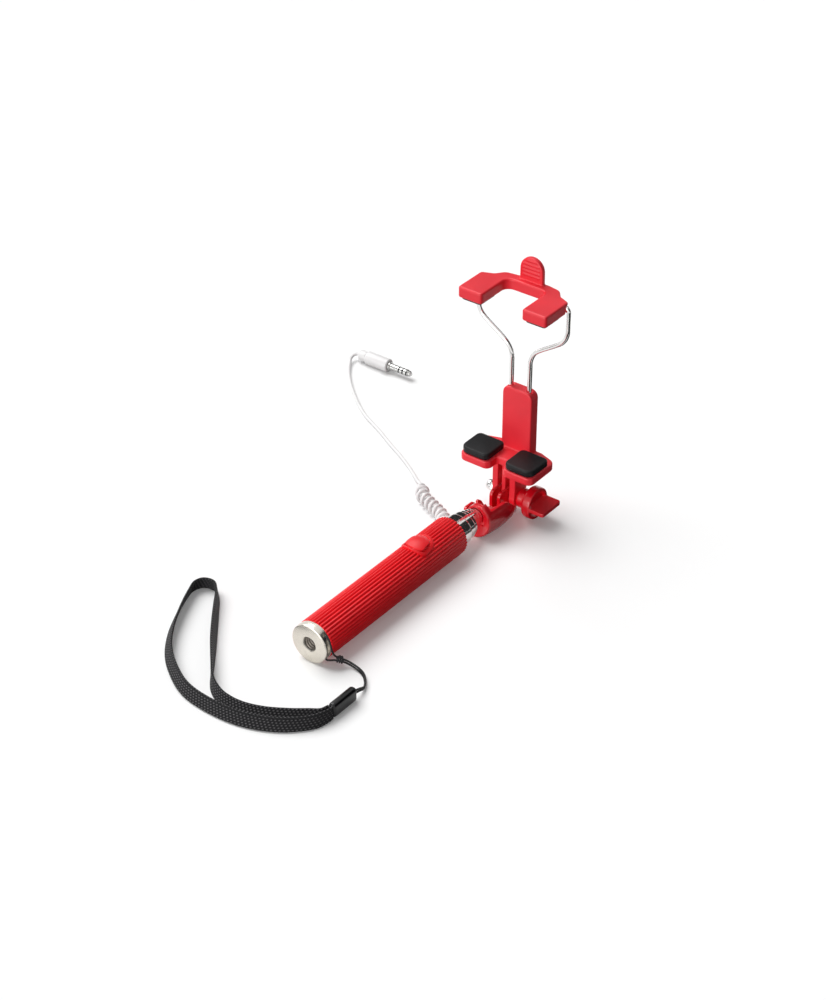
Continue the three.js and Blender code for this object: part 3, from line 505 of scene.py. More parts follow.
coil_line = [
    (-10.8, 102.7, 4.6), (-11, 106.5, 4.4), (-12.4, 112, 3.9), (-15.9, 116.8, COIL_Z + 0.05),
    (-20, 119.4, COIL_Z), (-25, 121.6, COIL_Z), (-30.4, 123.8, COIL_Z), (-33.6, 125.2, COIL_Z),
    (-36, 127.2, COIL_Z), (-38.2, 130.4, 3.1), (-41.2, 133.4, 2.3),
]


def curls(line, radius, turns, lead_in=1.2):
    count = turns * STEPS_PER_CURL
    centres = even_route([at(*p) for p in line], count)
    route = []
    for i, (centre, along) in enumerate(zip(centres, directions(centres))):
        across = Vector((-along.y, along.x, 0))
        across = across.normalized() if across.length > 0.2 else Vector((1, 0, 0))
        up = along.cross(across)
        swell = min(1, min(i, count - i) / count / (lead_in / turns))
        reach = radius * MM * swell * swell * (3 - 2 * swell)
        angle = 2 * math.pi * i / STEPS_PER_CURL
        route.append(centre + across * reach * math.cos(angle) + up * reach * math.sin(angle))
    return route


coil_length = route_length(even_route([at(*p) for p in coil_line], 400)) / MM
coil_turns = round(coil_length / CURL_PITCH)
coil = curls(coil_line, CURL, coil_turns)
coil_way = directions([at(*p) for p in coil_line])[-1]
print("curls", coil_turns, "cable in them", round(route_length(coil) / MM, 1), "mm")

PLUG_START = -138.2
PLUG_Y = 210.4
PLUG_RADIUS = 3.5
LIE = LEAD + 0.02
run_line = [
    (-47.6, 138.2, 1.3), (-51.6, 141.2, 0.95), (-58.2, 145.5, LIE), (-66.2, 150.1, LIE),
    (-72.2, 153.2, LIE), (-80.1, 157.3, LIE), (-86.7, 161, LIE), (-94.3, 164.7, LIE),
    (-102.1, 168.6, LIE), (-110.4, 174.1, LIE), (-118.8, 180.7, LIE), (-127.2, 188.2, LIE),
    (-134, 195.4, LIE), (-139, 202.1, 1.3), (-141.3, 206.2, 2.4), (-141.2, 208.8, 3.1),
    (-140, 210.2, 3.45), (PLUG_START - 0.1, PLUG_Y, PLUG_RADIUS),
]
leaving = coil[-1] + coil_way * 2 * MM
run = even_route([leaving] + [at(*p) for p in run_line], 260)
entering = [at(GLAND[0], y, GLAND[2]) for y in (99, 100, 101, 102)]
lead_route = entering + coil + run
lead = tube("lead_cable", lead_route, LEAD * MM, 12)
print("lead", round(route_length(lead_route) / MM, 1), "mm")

# %% [markdown]
# ## The wrist cord
# A thin black cord starts and ends in the tunnel at the cap's edge. Both strands go into
# the strap's sleeve, where the cord turns round out of sight.

# %% Wrist cord
CORD_RADIUS = 0.45
TUNNEL = (7.1, 2.1)
SLEEVE_X = 30.6
SLEEVE_TOP = -7.5
cord_line = [
    (*TUNNEL, 9), (*TUNNEL, 5.4), (7.8, 2.1, 3.6), (9, 2.6, 3.6), (11, 4.2, 3.6),
    (13.8, 6.6, 2.4), (18.4, 7.7, 0.9), (23.6, 6.4, 0.5), (27.6, 3, 0.5), (30, -1, 0.8),
    (SLEEVE_X, -4.6, 2.2), (SLEEVE_X, SLEEVE_TOP, 2.9), (SLEEVE_X, SLEEVE_TOP - 2, 3.5),
    (SLEEVE_X, SLEEVE_TOP, 4.1), (SLEEVE_X, -4.6, 3.4), (30.4, -1, 2), (28, 3, 1.6), (24, 6.5, 1.6),
    (19.4, 7.9, 1.9), (15.4, 7.4, 3), (12.6, 5.6, 4.6), (11.2, 3.6, 6.4), (10.6, 2.6, 9),
    (10, 2.2, 12.6), (9.1, 2.1, 15), (7.6, 2.05, 15.9), (*TUNNEL, 14), (*TUNNEL, 10),
]
cord_route = even_route([at(*p) for p in cord_line], 420)
wrist_cord = tube("wrist_cord", cord_route, CORD_RADIUS * MM, 10, start=(1, 0, 0))
print("wrist cord", round(route_length(cord_route) / MM, 1), "mm")

# %% [markdown]
# ## The webbing
# The flat strap makes one long loop that stands on its edge and leans: the third number of
# each point is its lean in degrees. The section is a flat bar with thicker, round edges.

# %% Webbing
STRAP_WIDTH = 6.4
STRAP_THICKNESS = 1.1
webbing_line = [
    (31.5, -23.6, 3), (31, -27.4, 12), (28, -34, 24), (18.6, -42.6, 30), (4.6, -48.6, 32),
    (-11.4, -50.2, 32), (-27.5, -48, 32), (-42.3, -39.9, 30), (-51.3, -32.1, 28),
    (-58.9, -22, 26), (-65.7, -9.5, 22), (-70.6, 1.6, 18), (-72.5, 8.3, 12), (-70.4, 12.6, 8),
    (-65.4, 13.6, 6), (-60.4, 9.8, 8), (-54, 1.8, 14), (-46.8, -7.4, 18), (-39.6, -16.4, 18),
    (-33, -24.4, 10), (-28, -30.4, 2), (-23.2, -36.2, -8), (-17.6, -40.8, -18),
    (-10, -43.8, -26), (-1, -44, -29), (8.4, -41.2, -28), (17.6, -36, -24),
    (24.8, -30.6, -16), (28.7, -27, -6), (29.6, -23.6, -3),
]

half, r = STRAP_WIDTH / 2, STRAP_THICKNESS / 2
end = arc(half - r, 0, r, -90, 90, 5) + [(half * s, r * 0.86) for s in (0.5, 0.0, -0.5)]
section = end + [(-a, -b) for a, b in end]
middle = even_route(webbing_line, 420)
rings, lengths, webbing_route, run_so_far = [], [], [], 0.0
for i, (point, ahead) in enumerate(zip(middle, directions(middle))):
    lean = math.radians(point.z)
    inward = Vector((ahead.y, -ahead.x, 0)).normalized()
    rise = Vector((0, 0, 1)) * math.cos(lean) + inward * math.sin(lean)
    face = Vector((0, 0, -1)) * math.sin(lean) + inward * math.cos(lean)
    height = half * math.cos(lean) + r * abs(math.sin(lean)) + 0.05
    centre = at(point.x, point.y, height)
    run_so_far += (centre - webbing_route[-1]).length / MM if webbing_route else 0
    webbing_route.append(centre)
    lengths.append(run_so_far)
    rings.append([centre + (rise * a + face * b) * MM for a, b in section])
spread = [0.0]
for (a, b), (c, d) in zip(section, section[1:] + section[:1]):
    spread.append(spread[-1] + math.dist((a, b), (c, d)))
webbing = skin("strap_webbing_band", rings, lengths, spread)
print("webbing", round(run_so_far, 1), "mm")

# %% [markdown]
# ## Drawing an outline from given points
# The rigid pieces start as one vertex that is extruded from point to point. Filled and
# extruded once more, such an outline is a plate, and spun about a line it is a turned piece.

# %% Draw, fill, extrude and spin
def draw(name, points):
    """Extrudes one vertex along the points, and stays in edit mode."""
    bpy.ops.object.select_all(action="DESELECT")
    bpy.ops.mesh.primitive_plane_add(size=MM, location=(0, 0, 0))
    piece = bpy.context.object
    piece.name = name
    bpy.ops.object.mode_set(mode="EDIT")
    bpy.ops.mesh.select_all(action="SELECT")
    bpy.ops.mesh.merge(type="CENTER")
    bpy.ops.transform.translate(value=points[0])
    for here, there in zip(points, points[1:]):
        bpy.ops.mesh.extrude_region_move(TRANSFORM_OT_translate={"value": there - here})
    bpy.ops.mesh.select_all(action="SELECT")
    return piece


PLANES = {"XY": at, "YZ": lambda a, b, c: at(c, a, b), "XZ": lambda a, b, c: at(a, c, b)}
BEVEL_ANGLE = 50


def plate(name, plane, outline, low, high, bevel=0.0, segments=3):
    """An outline in one plane, extruded from low to high along the third axis."""
    place = PLANES[plane]
    piece = draw(name, [place(a, b, low) for a, b in outline])
    bpy.ops.mesh.edge_face_add()
    rise = place(0, 0, high) - place(0, 0, low)
    bpy.ops.mesh.extrude_region_move(TRANSFORM_OT_translate={"value": rise})
    close_up()
    if bevel:
        modify(piece, "BEVEL", width=bevel * MM, segments=segments, limit_method="ANGLE",
               angle_limit=math.radians(BEVEL_ANGLE))
    return piece


HINGE_Y = 146.6
HINGE_Z = 8.7
BOLT_BORE = 2.25
X, Y, Z = Vector((1, 0, 0)), Vector((0, 1, 0)), Vector((0, 0, 1))
STICK = (at(0, 0, AXIS_Z), Y, X)
HINGE = (at(0, HINGE_Y, HINGE_Z), X, Z)
OUTLET = (at(*GLAND), Y, X)
PLUG = (at(PLUG_START, PLUG_Y, PLUG_RADIUS), X, Z)


def turned(name, line, profile, steps=96):
    """A profile of [radius, distance along the line], spun about the line."""
    origin, along, out = line
    piece = draw(name, [origin + (out * r + along * s) * MM for r, s in profile])
    bpy.ops.mesh.spin(steps=steps, angle=2 * math.pi, center=origin, axis=along)
    bpy.ops.mesh.select_all(action="SELECT")
    bpy.ops.mesh.remove_doubles(threshold=1e-7)
    close_up()
    return piece


def rod(name, radius, start, end, line=STICK, steps=96):
    return turned(name, line, [[0, start], [radius, start], [radius, end], [0, end]], steps)


def box(a0, a1, b0, b1):
    return [(a0, b0), (a1, b0), (a1, b1), (a0, b1)]


def block(name, x0, x1, y0, y1, z0, z1):
    return plate(name, "XY", box(x0, x1, y0, y1), z0, z1)


def pin(name, x, y, radius, low, high):
    return rod(name, radius, low, high, (at(x, y, 0), Z, X), 32)


# %% [markdown]
# ## Joining and cutting
# One piece is cut by another with a Boolean modifier, and the tool is thrown away. Rounded
# corners are arcs that touch both sides.

# %% Boolean and rounded corners
def combine(piece, operation, tools):
    for tool in tools:
        modify(piece, "BOOLEAN", operation=operation, solver="EXACT", object=tool)
        bpy.data.objects.remove(tool)
    return piece


def cut(piece, *tools):
    return combine(piece, "DIFFERENCE", tools)


def fuse(piece, *tools):
    return combine(piece, "UNION", tools)


def common(piece, *tools):
    return combine(piece, "INTERSECT", tools)


def rounded(corners, radius, steps=6):
    """Corners [a, b] or [a, b, own radius] with an arc at each."""
    outline = []
    count = len(corners)
    for i, corner in enumerate(corners):
        here = Vector(corner[:2])
        before = Vector(corners[i - 1][:2]) - here
        after = Vector(corners[(i + 1) % count][:2]) - here
        half = before.angle(after) / 2
        wanted = (corner[2] if len(corner) > 2 else radius) / math.tan(half)
        reach = min(wanted, before.length * 0.49, after.length * 0.49)
        cross = before.x * after.y - before.y * after.x
        swing = (2 * half - math.pi) * (1 if cross > 0 else -1)
        start = here + before.normalized() * reach
        inward = before.normalized() + after.normalized()
        centre = here + inward.normalized() * reach / math.cos(half)
        for k in range(steps + 1):
            a = swing * k / steps
            d = start - centre
            turn = Vector((d.x * math.cos(a) - d.y * math.sin(a), d.x * math.sin(a) + d.y * math.cos(a)))
            outline.append(tuple(centre + turn))
    return outline


def mirrored(outline):
    return [(-a, b) for a, b in reversed(outline)]


# %% [markdown]
# ## Moulded shapes
# Bevels fail on shapes that were cut many times, so a moulding is remeshed on a fine grid
# of voxels and smoothed, which rounds each edge by about a voxel, and then thinned.

# %% Soften a moulding
def moulded(piece, voxel, rounds, keep):
    modify(piece, "REMESH", mode="VOXEL", voxel_size=voxel * MM)
    modify(piece, "SMOOTH", factor=0.5, iterations=rounds)
    return modify(piece, "DECIMATE", ratio=keep)


# %% [markdown]
# ## The grip
# The sleeve is a rubber tube with 36 fine ribs. A circle with eight points to a rib is
# drawn in towards the axis, most in the grooves, and extruded, with both ends a little
# smaller. The border round the button and the gland of the lead are joined to it.

# %% Ribbed sleeve
GRIP_RADIUS = 9.5
RIB_DEPTH = 0.6
RIBS = 36
RIB_POINTS = 8
GRIP_START = 4.3
GRIP_END = 101
TUBE_RADIUS = 7.5
GAP = 0.3
BUTTON_Y = 77.2
SWITCH_HEIGHT = 0.9
BUTTON_TRAVEL = 0.25
BUTTON_BASE_Z = AXIS_Z + TUBE_RADIUS + GAP + SWITCH_HEIGHT + BUTTON_TRAVEL + 0.05
END_STEP = 0.25
END_SHARE = 0.975


def pick(test):
    """Selects the vertices that pass the test, in edit mode."""
    bpy.ops.mesh.select_mode(type="VERT")
    bpy.ops.mesh.select_all(action="DESELECT")
    mesh = bmesh.from_edit_mesh(bpy.context.object.data)
    for vertex in mesh.verts:
        vertex.select = test(vertex)
    mesh.select_flush_mode()
    bmesh.update_edit_mesh(bpy.context.object.data)


def ribbed_tube():
    axis = at(0, GRIP_START, AXIS_Z)
    bpy.ops.object.select_all(action="DESELECT")
    bpy.ops.mesh.primitive_circle_add(
        vertices=RIBS * RIB_POINTS, radius=GRIP_RADIUS * MM, fill_type="NGON",
        location=axis, rotation=(math.pi / 2, 0, 0))
    piece = bpy.context.object
    piece.name = "grip_rubber_sleeve"
    bpy.ops.object.transform_apply(location=True, rotation=True, scale=True)
    bpy.ops.object.mode_set(mode="EDIT")
    for phase in range(1, RIB_POINTS):
        crest = abs(math.cos(math.pi * phase / RIB_POINTS))
        shrink = 1 - RIB_DEPTH / GRIP_RADIUS * (1 - crest)
        pick(lambda v: v.index % RIB_POINTS == phase)
        bpy.ops.transform.resize(value=(shrink, 1, shrink), center_override=axis)
    bpy.ops.mesh.select_all(action="SELECT")
    bpy.ops.transform.resize(value=(END_SHARE, 1, END_SHARE), center_override=axis)
    middle = GRIP_END - GRIP_START - 2 * END_STEP
    for step, size in ((END_STEP, 1 / END_SHARE), (middle, 1), (END_STEP, END_SHARE)):
        bpy.ops.mesh.extrude_region_move(TRANSFORM_OT_translate={"value": (0, step * MM, 0)})
        bpy.ops.transform.resize(value=(size, 1, size), center_override=axis)
    close_up()
    return piece


def button_outline(offset):
    outline = []
    arcs = [(3, -2.5, 2.3 + offset, -70, -12, 6), (0, 0, 4.9 + offset, -4, 184, 30),
            (-3, -2.5, 2.3 + offset, 192, 250, 6), (0, 3.6, 9 + offset, 250, 290, 6)]
    for x, y, *rest in arcs:
        outline += arc(x, BUTTON_Y + y, *rest)
    return outline


border = common(plate("border", "XY", button_outline(1.6), 14, 21), rod("crown", 10, 60, 95))
cut(border, plate("inside", "XY", button_outline(GAP), 13, 22))
border = moulded(border, 0.14, 6, 0.5)
gland_block = plate("gland", "XY", rounded(
    [(-13, 95.4), (-13, 101), (-6.4, 101), (-6.4, 91)], 1.2), 2.4, 6.8, 0.6)
pocket = plate("pocket", "XY", button_outline(GAP + 0.1), BUTTON_BASE_Z - GAP, 22)
sleeve = fuse(cut(ribbed_tube(), pocket), border, gland_block)
cut(sleeve, rod("bore", TUBE_RADIUS + GAP, 0, 110),
    block("board_room", -3.1, 3.1, 71.9, 82.5, 10, BUTTON_BASE_Z),
    rod("gland_bore", 2.05, -5.7, 2, OUTLET, 32))
complete(sleeve, "handle", "red_rubber", RED_RUBBER, "grip_sleeve")

# %% [markdown]
# ## The button
# The button is a key with a round top and two soft shoulders. A large ball cuts its face
# to a dome that stands a little over the border, and it is softened as a moulding.

# %% Button
DOME_RADIUS = 11.5
DOME_TOP = 20.6
dome_line = (at(0, BUTTON_Y, DOME_TOP - DOME_RADIUS), Z, X)
ball = arc(0, 0, DOME_RADIUS, 0, 90, 24)
dome = turned("dome", dome_line, [[0, -2], [DOME_RADIUS, -2], *ball])
button = common(plate("button_key", "XY", button_outline(-0.12), BUTTON_BASE_Z, 22), dome)
complete(moulded(button, 0.13, 12, 0.5), "button", "red_rubber", RED_RUBBER, "shutter_button",
         smooth=60)

# %% [markdown]
# ## The end cap
# A turned nickel plug with a socket for a camera screw. The cord's tunnel and groove are
# cut at its edge, and the thread is a small ridge that a Screw modifier winds down it.

# %% End cap
CAP_RADIUS = 9.35
cap = turned("nickel_end_cap", STICK, [
    [0, 9], [SOCKET, 9], [SOCKET, 0.7], [SOCKET + 0.7, 0], [CAP_RADIUS - 0.55, 0],
    [CAP_RADIUS - 0.25, 0.12], [CAP_RADIUS - 0.08, 0.3], [CAP_RADIUS, 0.6], [CAP_RADIUS, 3.8],
    [CAP_RADIUS - 0.2, 4], [6.85, 4], [6.85, 13.4], [6.25, 14], [0, 14]], 128)
groove = turned("groove", STICK, [*box(8.45, 11, 1.15, 3.05), (8.45, 1.15)], 128)
common(groove, block("sector", 6.15, 12, 0, 4, 3.3, 15.7))
cut(cap, pin("tunnel", *TUNNEL, 0.95, -2, 20), groove)
complete(cap, "handle", "nickel", NICKEL, "end_cap", smooth=30)

# %% Thread in the socket
THREAD_PITCH = 1.27
THREAD_TURNS = 6
THREAD_DEPTH = 0.42
THREAD_STEPS = 48
crest = SOCKET - THREAD_DEPTH
ridge = [(SOCKET + 0.1, 0.7), (SOCKET + 0.1, 1.7), (crest, 1.32), (crest, 1.18)]

origin, along, out = STICK
socket_thread = draw("socket_thread", [(out * r + along * s) * MM for r, s in ridge])
bpy.ops.mesh.edge_face_add()
bpy.ops.mesh.delete(type="ONLY_FACE")
bpy.ops.object.mode_set(mode="OBJECT")
modify(socket_thread, "SCREW", axis="Y", screw_offset=THREAD_PITCH * MM, iterations=THREAD_TURNS,
       steps=THREAD_STEPS, render_steps=THREAD_STEPS, use_merge_vertices=False)
bpy.ops.object.mode_set(mode="EDIT")
bpy.ops.mesh.select_all(action="SELECT")
bpy.ops.transform.translate(value=origin)
bpy.ops.mesh.fill_holes(sides=8)
close_up()
complete(socket_thread, "handle", "nickel", SOCKET_SHADE_STEEL)

# %% [markdown]
# ## The telescopic tubes
# Seven polished tubes sit one in the other, and only their mouths show. Each mouth is
# rolled in a little to hold the next tube, so it has a soft shoulder.

# %% Tubes
MOUTHS = [107.6, 111.3, 113.5, 115.7, 117.7, 119.4, 123.4]
TUBE_WALL = 0.35
TUBE_STEP = 0.625
LIP = 0.18
LAST_LIP = 0.04
FIRST_REAR = 18
REAR_STEP = 3.4
BODIES = ["handle"] + [f"stage_{k}" for k in range(2, 8)]

for i, (mouth, body) in enumerate(zip(MOUTHS, BODIES)):
    outer = TUBE_RADIUS - i * TUBE_STEP
    inner = outer - TUBE_WALL
    rear = GRIP_START if i == 0 else FIRST_REAR + REAR_STEP * (i - 1)
    lip = LIP if i < 6 else LAST_LIP
    roll = [[outer - lip * f, mouth - 0.7 * b] for f, b in
            ((0, 1), (0.08, 0.72), (0.3, 0.4), (0.62, 0.14), (1, 0))]
    chrome_tube = turned(f"chrome_tube_{i + 1}", STICK, [
        [inner, rear], [outer, rear], *roll, [inner - lip * 0.4, mouth],
        [inner - lip * 0.6, mouth - 0.3], [inner, mouth - 1.4], [inner, rear]], 128)
    complete(chrome_tube, body, "chrome_tube", CHROME_TUBE, f"tube_{i + 1}", smooth=50)

# %% [markdown]
# ## The neck
# The neck is a turned barrel, scooped out from its upper left and softened: a collar round
# the tubes, a boss that grips the thin tube, two hinge plates and a bowl under them.

# %% Neck
KNUCKLE_RADIUS = 5.1


def neck_plate(x0, x1):
    knuckle = arc(HINGE_Y, HINGE_Z, KNUCKLE_RADIUS, 90, -90, 16)
    front = rounded([(145.1, 1.4), (138.9, 1.4), (138.5, 4.8), (134.9, 5.2), (134.9, 14.2),
                     (144.6, 14.2)], 2.4)[7:-7]
    return plate("neck_plate", "YZ", [*knuckle, (145.1, 1.4), *front], x0, x1)


def neck():
    barrel = turned("gloss_neck", STICK, [
        [0, 117.5], [9.3, 117.5], [9.5, 117.7], [9.9, 118.4], [10.4, 122], [10.8, 127], [10.85, 129],
        [10.8, 131], [10.5, 136], [9.6, 140], [8, 143.6], [6, 146.2], [0, 146.2]], 96)
    lobe = rounded([(124.4, 4.4), (124.9, 7.5), (132.2, 7.2), (133, 5)], 2.6)[7:21]
    ear = rounded([(133.4, 5), (134.4, 6.9), (136.6, 6.1), (136.9, 2.6)], 1.3)[7:21]
    right = [(120.5, 15.2), (126, 15.3), (130.4, 15.1), (132.6, 14.3), (135.3, 11.7), (138, 9.6),
             (141, 5.6), (147.2, 1.9), (147.2, 30), (120.5, 30)]
    left = [(120.5, 5), (124.4, 4.8), *lobe, (132.7, 5), (133.7, 4.8), *ear, (136.9, 3.4),
            (138, 2.2), (141, 2), (147.2, 1.8), (147.2, 30), (120.5, 30)]
    mouth = turned("mouth", STICK, [[0, 116.5], [9.6, 116.5], [9, 117.5], [4.85, 120.1], [0, 120.1]])
    trough = turned("trough", STICK, [
        [0, 122.5], [9, 122.5], [9.4, 127], [9.4, 131], [9.1, 136], [8.2, 140], [6.6, 143.6],
        [4.6, 146.2], [4.6, 147.2], [0, 147.2]])
    cut(trough, rod("boss", 5.1, 121.5, 123.6), block("floor", -12, 12, 121.5, 148.2, -1, 2.2))
    cut(barrel, plate("right", "YZ", right, 0, 12), plate("left", "YZ", left, -12, 0.01),
        block("collar", -12, 5, 116.5, 120.51, 6, 30), mouth, trough,
        block("ground", -12, 12, 116, 148, -5, 0))
    fuse(barrel, rod("boss", 5.1, 120.5, 123.6), neck_plate(1.3, 3), neck_plate(-3, -1.3))
    cut(barrel, rod("room", 4.05, 117, 123.7), rod("bolt", BOLT_BORE, -12, 12, HINGE, 48))
    return moulded(barrel, 0.18, 6, 0.6)


complete(neck(), "stage_7", "red_gloss", RED_GLOSS, "head_neck", smooth=60)

# %% [markdown]
# ## The clamp's base
# Three hinge legs carry a plate with two feet, and a flat spine rises behind them to guide
# the wire. The pads on the feet are rubber.

# %% Clamp base
FOOT_Z = 25.5
FOOT_TOP = 29.5
SPINE_FRONT = 150.9
SPINE_BACK = 156.6
WIRE_Y = 153.5


def leg(x0, x1):
    knuckle = arc(HINGE_Y, HINGE_Z, KNUCKLE_RADIUS, 165.6, 374.4, 16)
    outline = [(152.4, 26.5), (142, 26.5), (142, 14.7), *knuckle, (152.4, 14.7)]
    return plate("leg", "YZ", outline, x0, x1)


def clamp_base():
    foot = rounded([
        (-20.1, 134.2, 3.2), (-3.4, 134.2, 3.2), (-3.4, 141.5, 1.5), (3.4, 141.5, 1.5),
        (3.4, 134.2, 3.2), (20.1, 134.2, 3.2), (20.1, 153.6, 4), (11, 156.6, 3),
        (-11, 156.6, 3), (-20.1, 153.6, 4)], 3)
    base = plate("satin_clamp_base", "XY", foot, FOOT_Z, FOOT_TOP, 0.7)
    upright = rounded([(-8, 26.5, 1), (8, 26.5, 1), (8, 62, 3.5), (-8, 62, 3.5)], 3)
    spine = plate("spine", "XZ", upright, SPINE_FRONT, SPINE_BACK, 0.6)
    section = rounded([(-3.5, SPINE_FRONT, 0.5), (3.5, SPINE_FRONT, 0.5), (3.5, SPINE_BACK, 2.4),
                       (-3.5, SPINE_BACK, 2.4)], 2)
    column = plate("column", "XY", section, 14.5, 26.5)
    fuse(base, leg(-6.4, -3.3), leg(-1, 1), leg(3.3, 6.4), spine, column,
         block("web", -1, 1, 150.4, 153.4, 15.5, 26.5))
    cut(base, block("cavity", -6.4, 6.4, 152.1, 157.6, 28, 59),
        pin("left_bore", -5, WIRE_Y, 1.4, 40, 70), pin("right_bore", 5, WIRE_Y, 1.4, 40, 70),
        pin("spring_room", 0, WIRE_Y, 2.3, 15.7, 46), rod("bolt", BOLT_BORE, -12, 12, HINGE, 48),
        block("cover_seat", -7, 7, 155.1, 157.6, 27.4, 59.6))
    return moulded(base, 0.24, 4, 0.4)


complete(clamp_base(), "clamp", "red_satin", RED_SATIN, "clamp_base", smooth=60)
cover_outline = rounded(box(-6.7, 6.7, 27.7, 59.3), 0.5)
cover = plate("satin_spine_cover", "XZ", cover_outline, 155.4, SPINE_BACK, 0.25)
complete(cover, "clamp", "red_satin", RED_SATIN, "spine_cover")

# %% Lower pads
def pads(level, body, right, low, high, bevel, segments):
    for side, outline in (("right", right), ("left", mirrored(right))):
        pad = plate(f"rubber_{level}_{side}", "XY", outline, low, high, bevel, segments)
        complete(pad, body, "black_rubber", BLACK_RUBBER, f"{level}_pad_{side}")


lower_pad = rounded([(4.6, 134.6, 3), (19.7, 134.6, 3.8), (19.7, 149.8, 2.5),
                     (4.6, 149.8, 2.5)], 2, 8)
pads("lower", "clamp", lower_pad, FOOT_TOP + 0.1, 33, 0.9, 5)

# %% [markdown]
# ## The hinge screw
# A winged knob on one side and a domed nut with a washer on the other squeeze the legs
# and plates together. All of them are turned, apart from the wing and the nut's flats.

# %% Knob, washer and nut
knob = turned("gloss_thumb_knob", HINGE, [
    [0, 12.4], [BOLT_BORE, 12.4], [BOLT_BORE, 6.7], [4.1, 6.7], [4.5, 6.9], [4.8, 7.5], [4.8, 10.6],
    [5.4, 11.5], [7.1, 11.95], [7.55, 12.2], [7.8, 12.7], [7.8, 15.9], [7.6, 16.35], [7.2, 16.5],
    [6.6, 16.5], [6.1, 16.2], [5.7, 15.5], [5.2, 15.2], [0, 15.2]], 96)
wing_outline = rounded([(13.1, 139.3, 0.5), (24.2, 139.3, 1.2), (24.2, 153.9, 1.2),
                        (13.1, 153.9, 0.5)], 1)
wing = plate("wing", "XY", wing_outline, HINGE_Z - 1, HINGE_Z + 1)
complete(moulded(fuse(knob, wing), 0.2, 4, 0.5), "thumb_screw", "red_gloss", RED_GLOSS,
         "thumb_knob", smooth=60)

washer = turned("nickel_hinge_washer", HINGE, [
    [BOLT_BORE, -7.3], [3.3, -7.3], [3.5, -7.1], [3.5, -6.9], [3.3, -6.7], [BOLT_BORE, -6.7],
    [BOLT_BORE, -7.3]], 64)
complete(washer, "clamp", "nickel", STEEL, "hinge_washer")

flats = arc(HINGE_Y, HINGE_Z, 3.118, 0, 300, 5)
nut = plate("chrome_domed_nut", "YZ", flats, -9.6, -7.6, 0.25)
dome = turned("dome", HINGE, [[0, -12.3], [0.9, -12.25], [1.7, -11.95], [2.3, -11.4], [2.6, -10.7],
                              [2.65, -10.1], [2.65, -8.2], [0, -8.2]], 64)
fuse(nut, dome)
cut(nut, rod("nut_bore", BOLT_BORE, -10.9, -6.6, HINGE, 48))
complete(nut, "clamp", "chrome_tube", CHROME, "hinge_nut")

# %% [markdown]
# ## The wire frame
# One bent wire slides in the spine and carries the upper jaw on its two turned-in ends.

# %% Wire
WIRE_RADIUS = 1.1
wire_half = [
    (19.2, 111.3), (21.2, 111.3), (22.9, 111.15), (24.05, 110), (24.3, 108.1), (24.3, 103),
    (24.1, 98), (21.9, 93.4), (7.4, 82.6), (5.2, 78), (5, 73), (5, 53), (5, 47), (4.5, 45),
    (2.8, 44),
]
wire_line = [(x, WIRE_Y, z) for x, z in wire_half]
wire_line += [(-x, y, z) for x, y, z in reversed(wire_line)]
wire_route = even_route([at(*p) for p in wire_line], 420)
wire = tube("chrome_wire_frame", wire_route, WIRE_RADIUS * MM, 20, start=(0, 1, 0))
complete(wire, "wire", "chrome_tube", CHROME, "wire_frame", smooth=60)

# %% [markdown]
# ## The spring
# A pull spring in the spine draws the wire down. It is wound as the curls of the lead are, at one fixed
# length, though the real one shortens with the wire.

# %% Spring
SPRING_LOW = 19
SPRING_HIGH = 41.9
SPRING_END = 0.6
coils = curls([(0, WIRE_Y, z) for z in (SPRING_LOW, 30, SPRING_HIGH)], 1.4, 12)
spring_route = [coils[0] - Z * SPRING_END * MM, *coils, coils[-1] + Z * SPRING_END * MM]
spring = tube("steel_clamp_spring", spring_route, 0.3 * MM, 8, start=(1, 0, 0))
complete(spring, "clamp", "steel", STEEL, "clamp_spring")
at(0, WIRE_Y, SPRING_LOW - SPRING_END)
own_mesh(spring)

# %% [markdown]
# ## The upper jaw
# A flat fork with two prongs, a waist behind them and a ridged thumb tab. Slots in its
# sides take the wire's ends, and a rubber pad sits under each prong.

# %% Upper jaw
JAW_Z = 108.5
JAW_TOP = 114
RIDGES = 5
RIDGE_STEP = 1.8


def upper_jaw():
    half = [(10.8, 136.6, 1.2), (23.6, 136.6, 1.2), (23.6, 154.2, 1.6), (17.8, 156.6, 3),
            (14.6, 160.8, 4), (8.3, 161.8, 2)]
    left = [(-x, y, r) for x, y, r in reversed(half)]
    outline = rounded([*half, *left, (-10.8, 156.3, 3.6), (10.8, 156.3, 3.6)], 2)
    jaw = plate("satin_upper_jaw", "XY", outline, JAW_Z, JAW_TOP, 0.8)
    tab_outline = rounded([(-6.3, 109.5, 0.8), (6.3, 109.5, 0.8), (5.9, 125.7, 6),
                           (-5.9, 125.7, 6)], 6, 12)
    tab = plate("tab", "XZ", tab_outline, 159.2, 161.6, 0.5)
    ridges = []
    for k in range(RIDGES):
        z = JAW_TOP + 2.6 + RIDGE_STEP * k
        rise = max(0, z + 0.7 - 119.4)
        reach = min(4.5, math.sqrt(6.3**2 - rise**2) - 1)
        ridge = rounded(box(-reach, reach, z, z + 0.7), 0.3, 3)
        ridges.append(plate("ridge", "XZ", ridge, 158.85, 159.7))
    fuse(jaw, tab, *ridges)
    for start, notch in ((18.9, 22.6), (-24.6, -24.6)):
        cut(jaw, rod("wire_end", 1.4, 0, 5.7, (at(start, WIRE_Y, 111.3), X, Z), 32),
            block("notch", notch, notch + 2, 152.1, 161.8, 107.5, 112.7))
    return moulded(jaw, 0.22, 4, 0.4)


complete(upper_jaw(), "jaw", "red_satin", RED_SATIN, "upper_jaw", smooth=60)

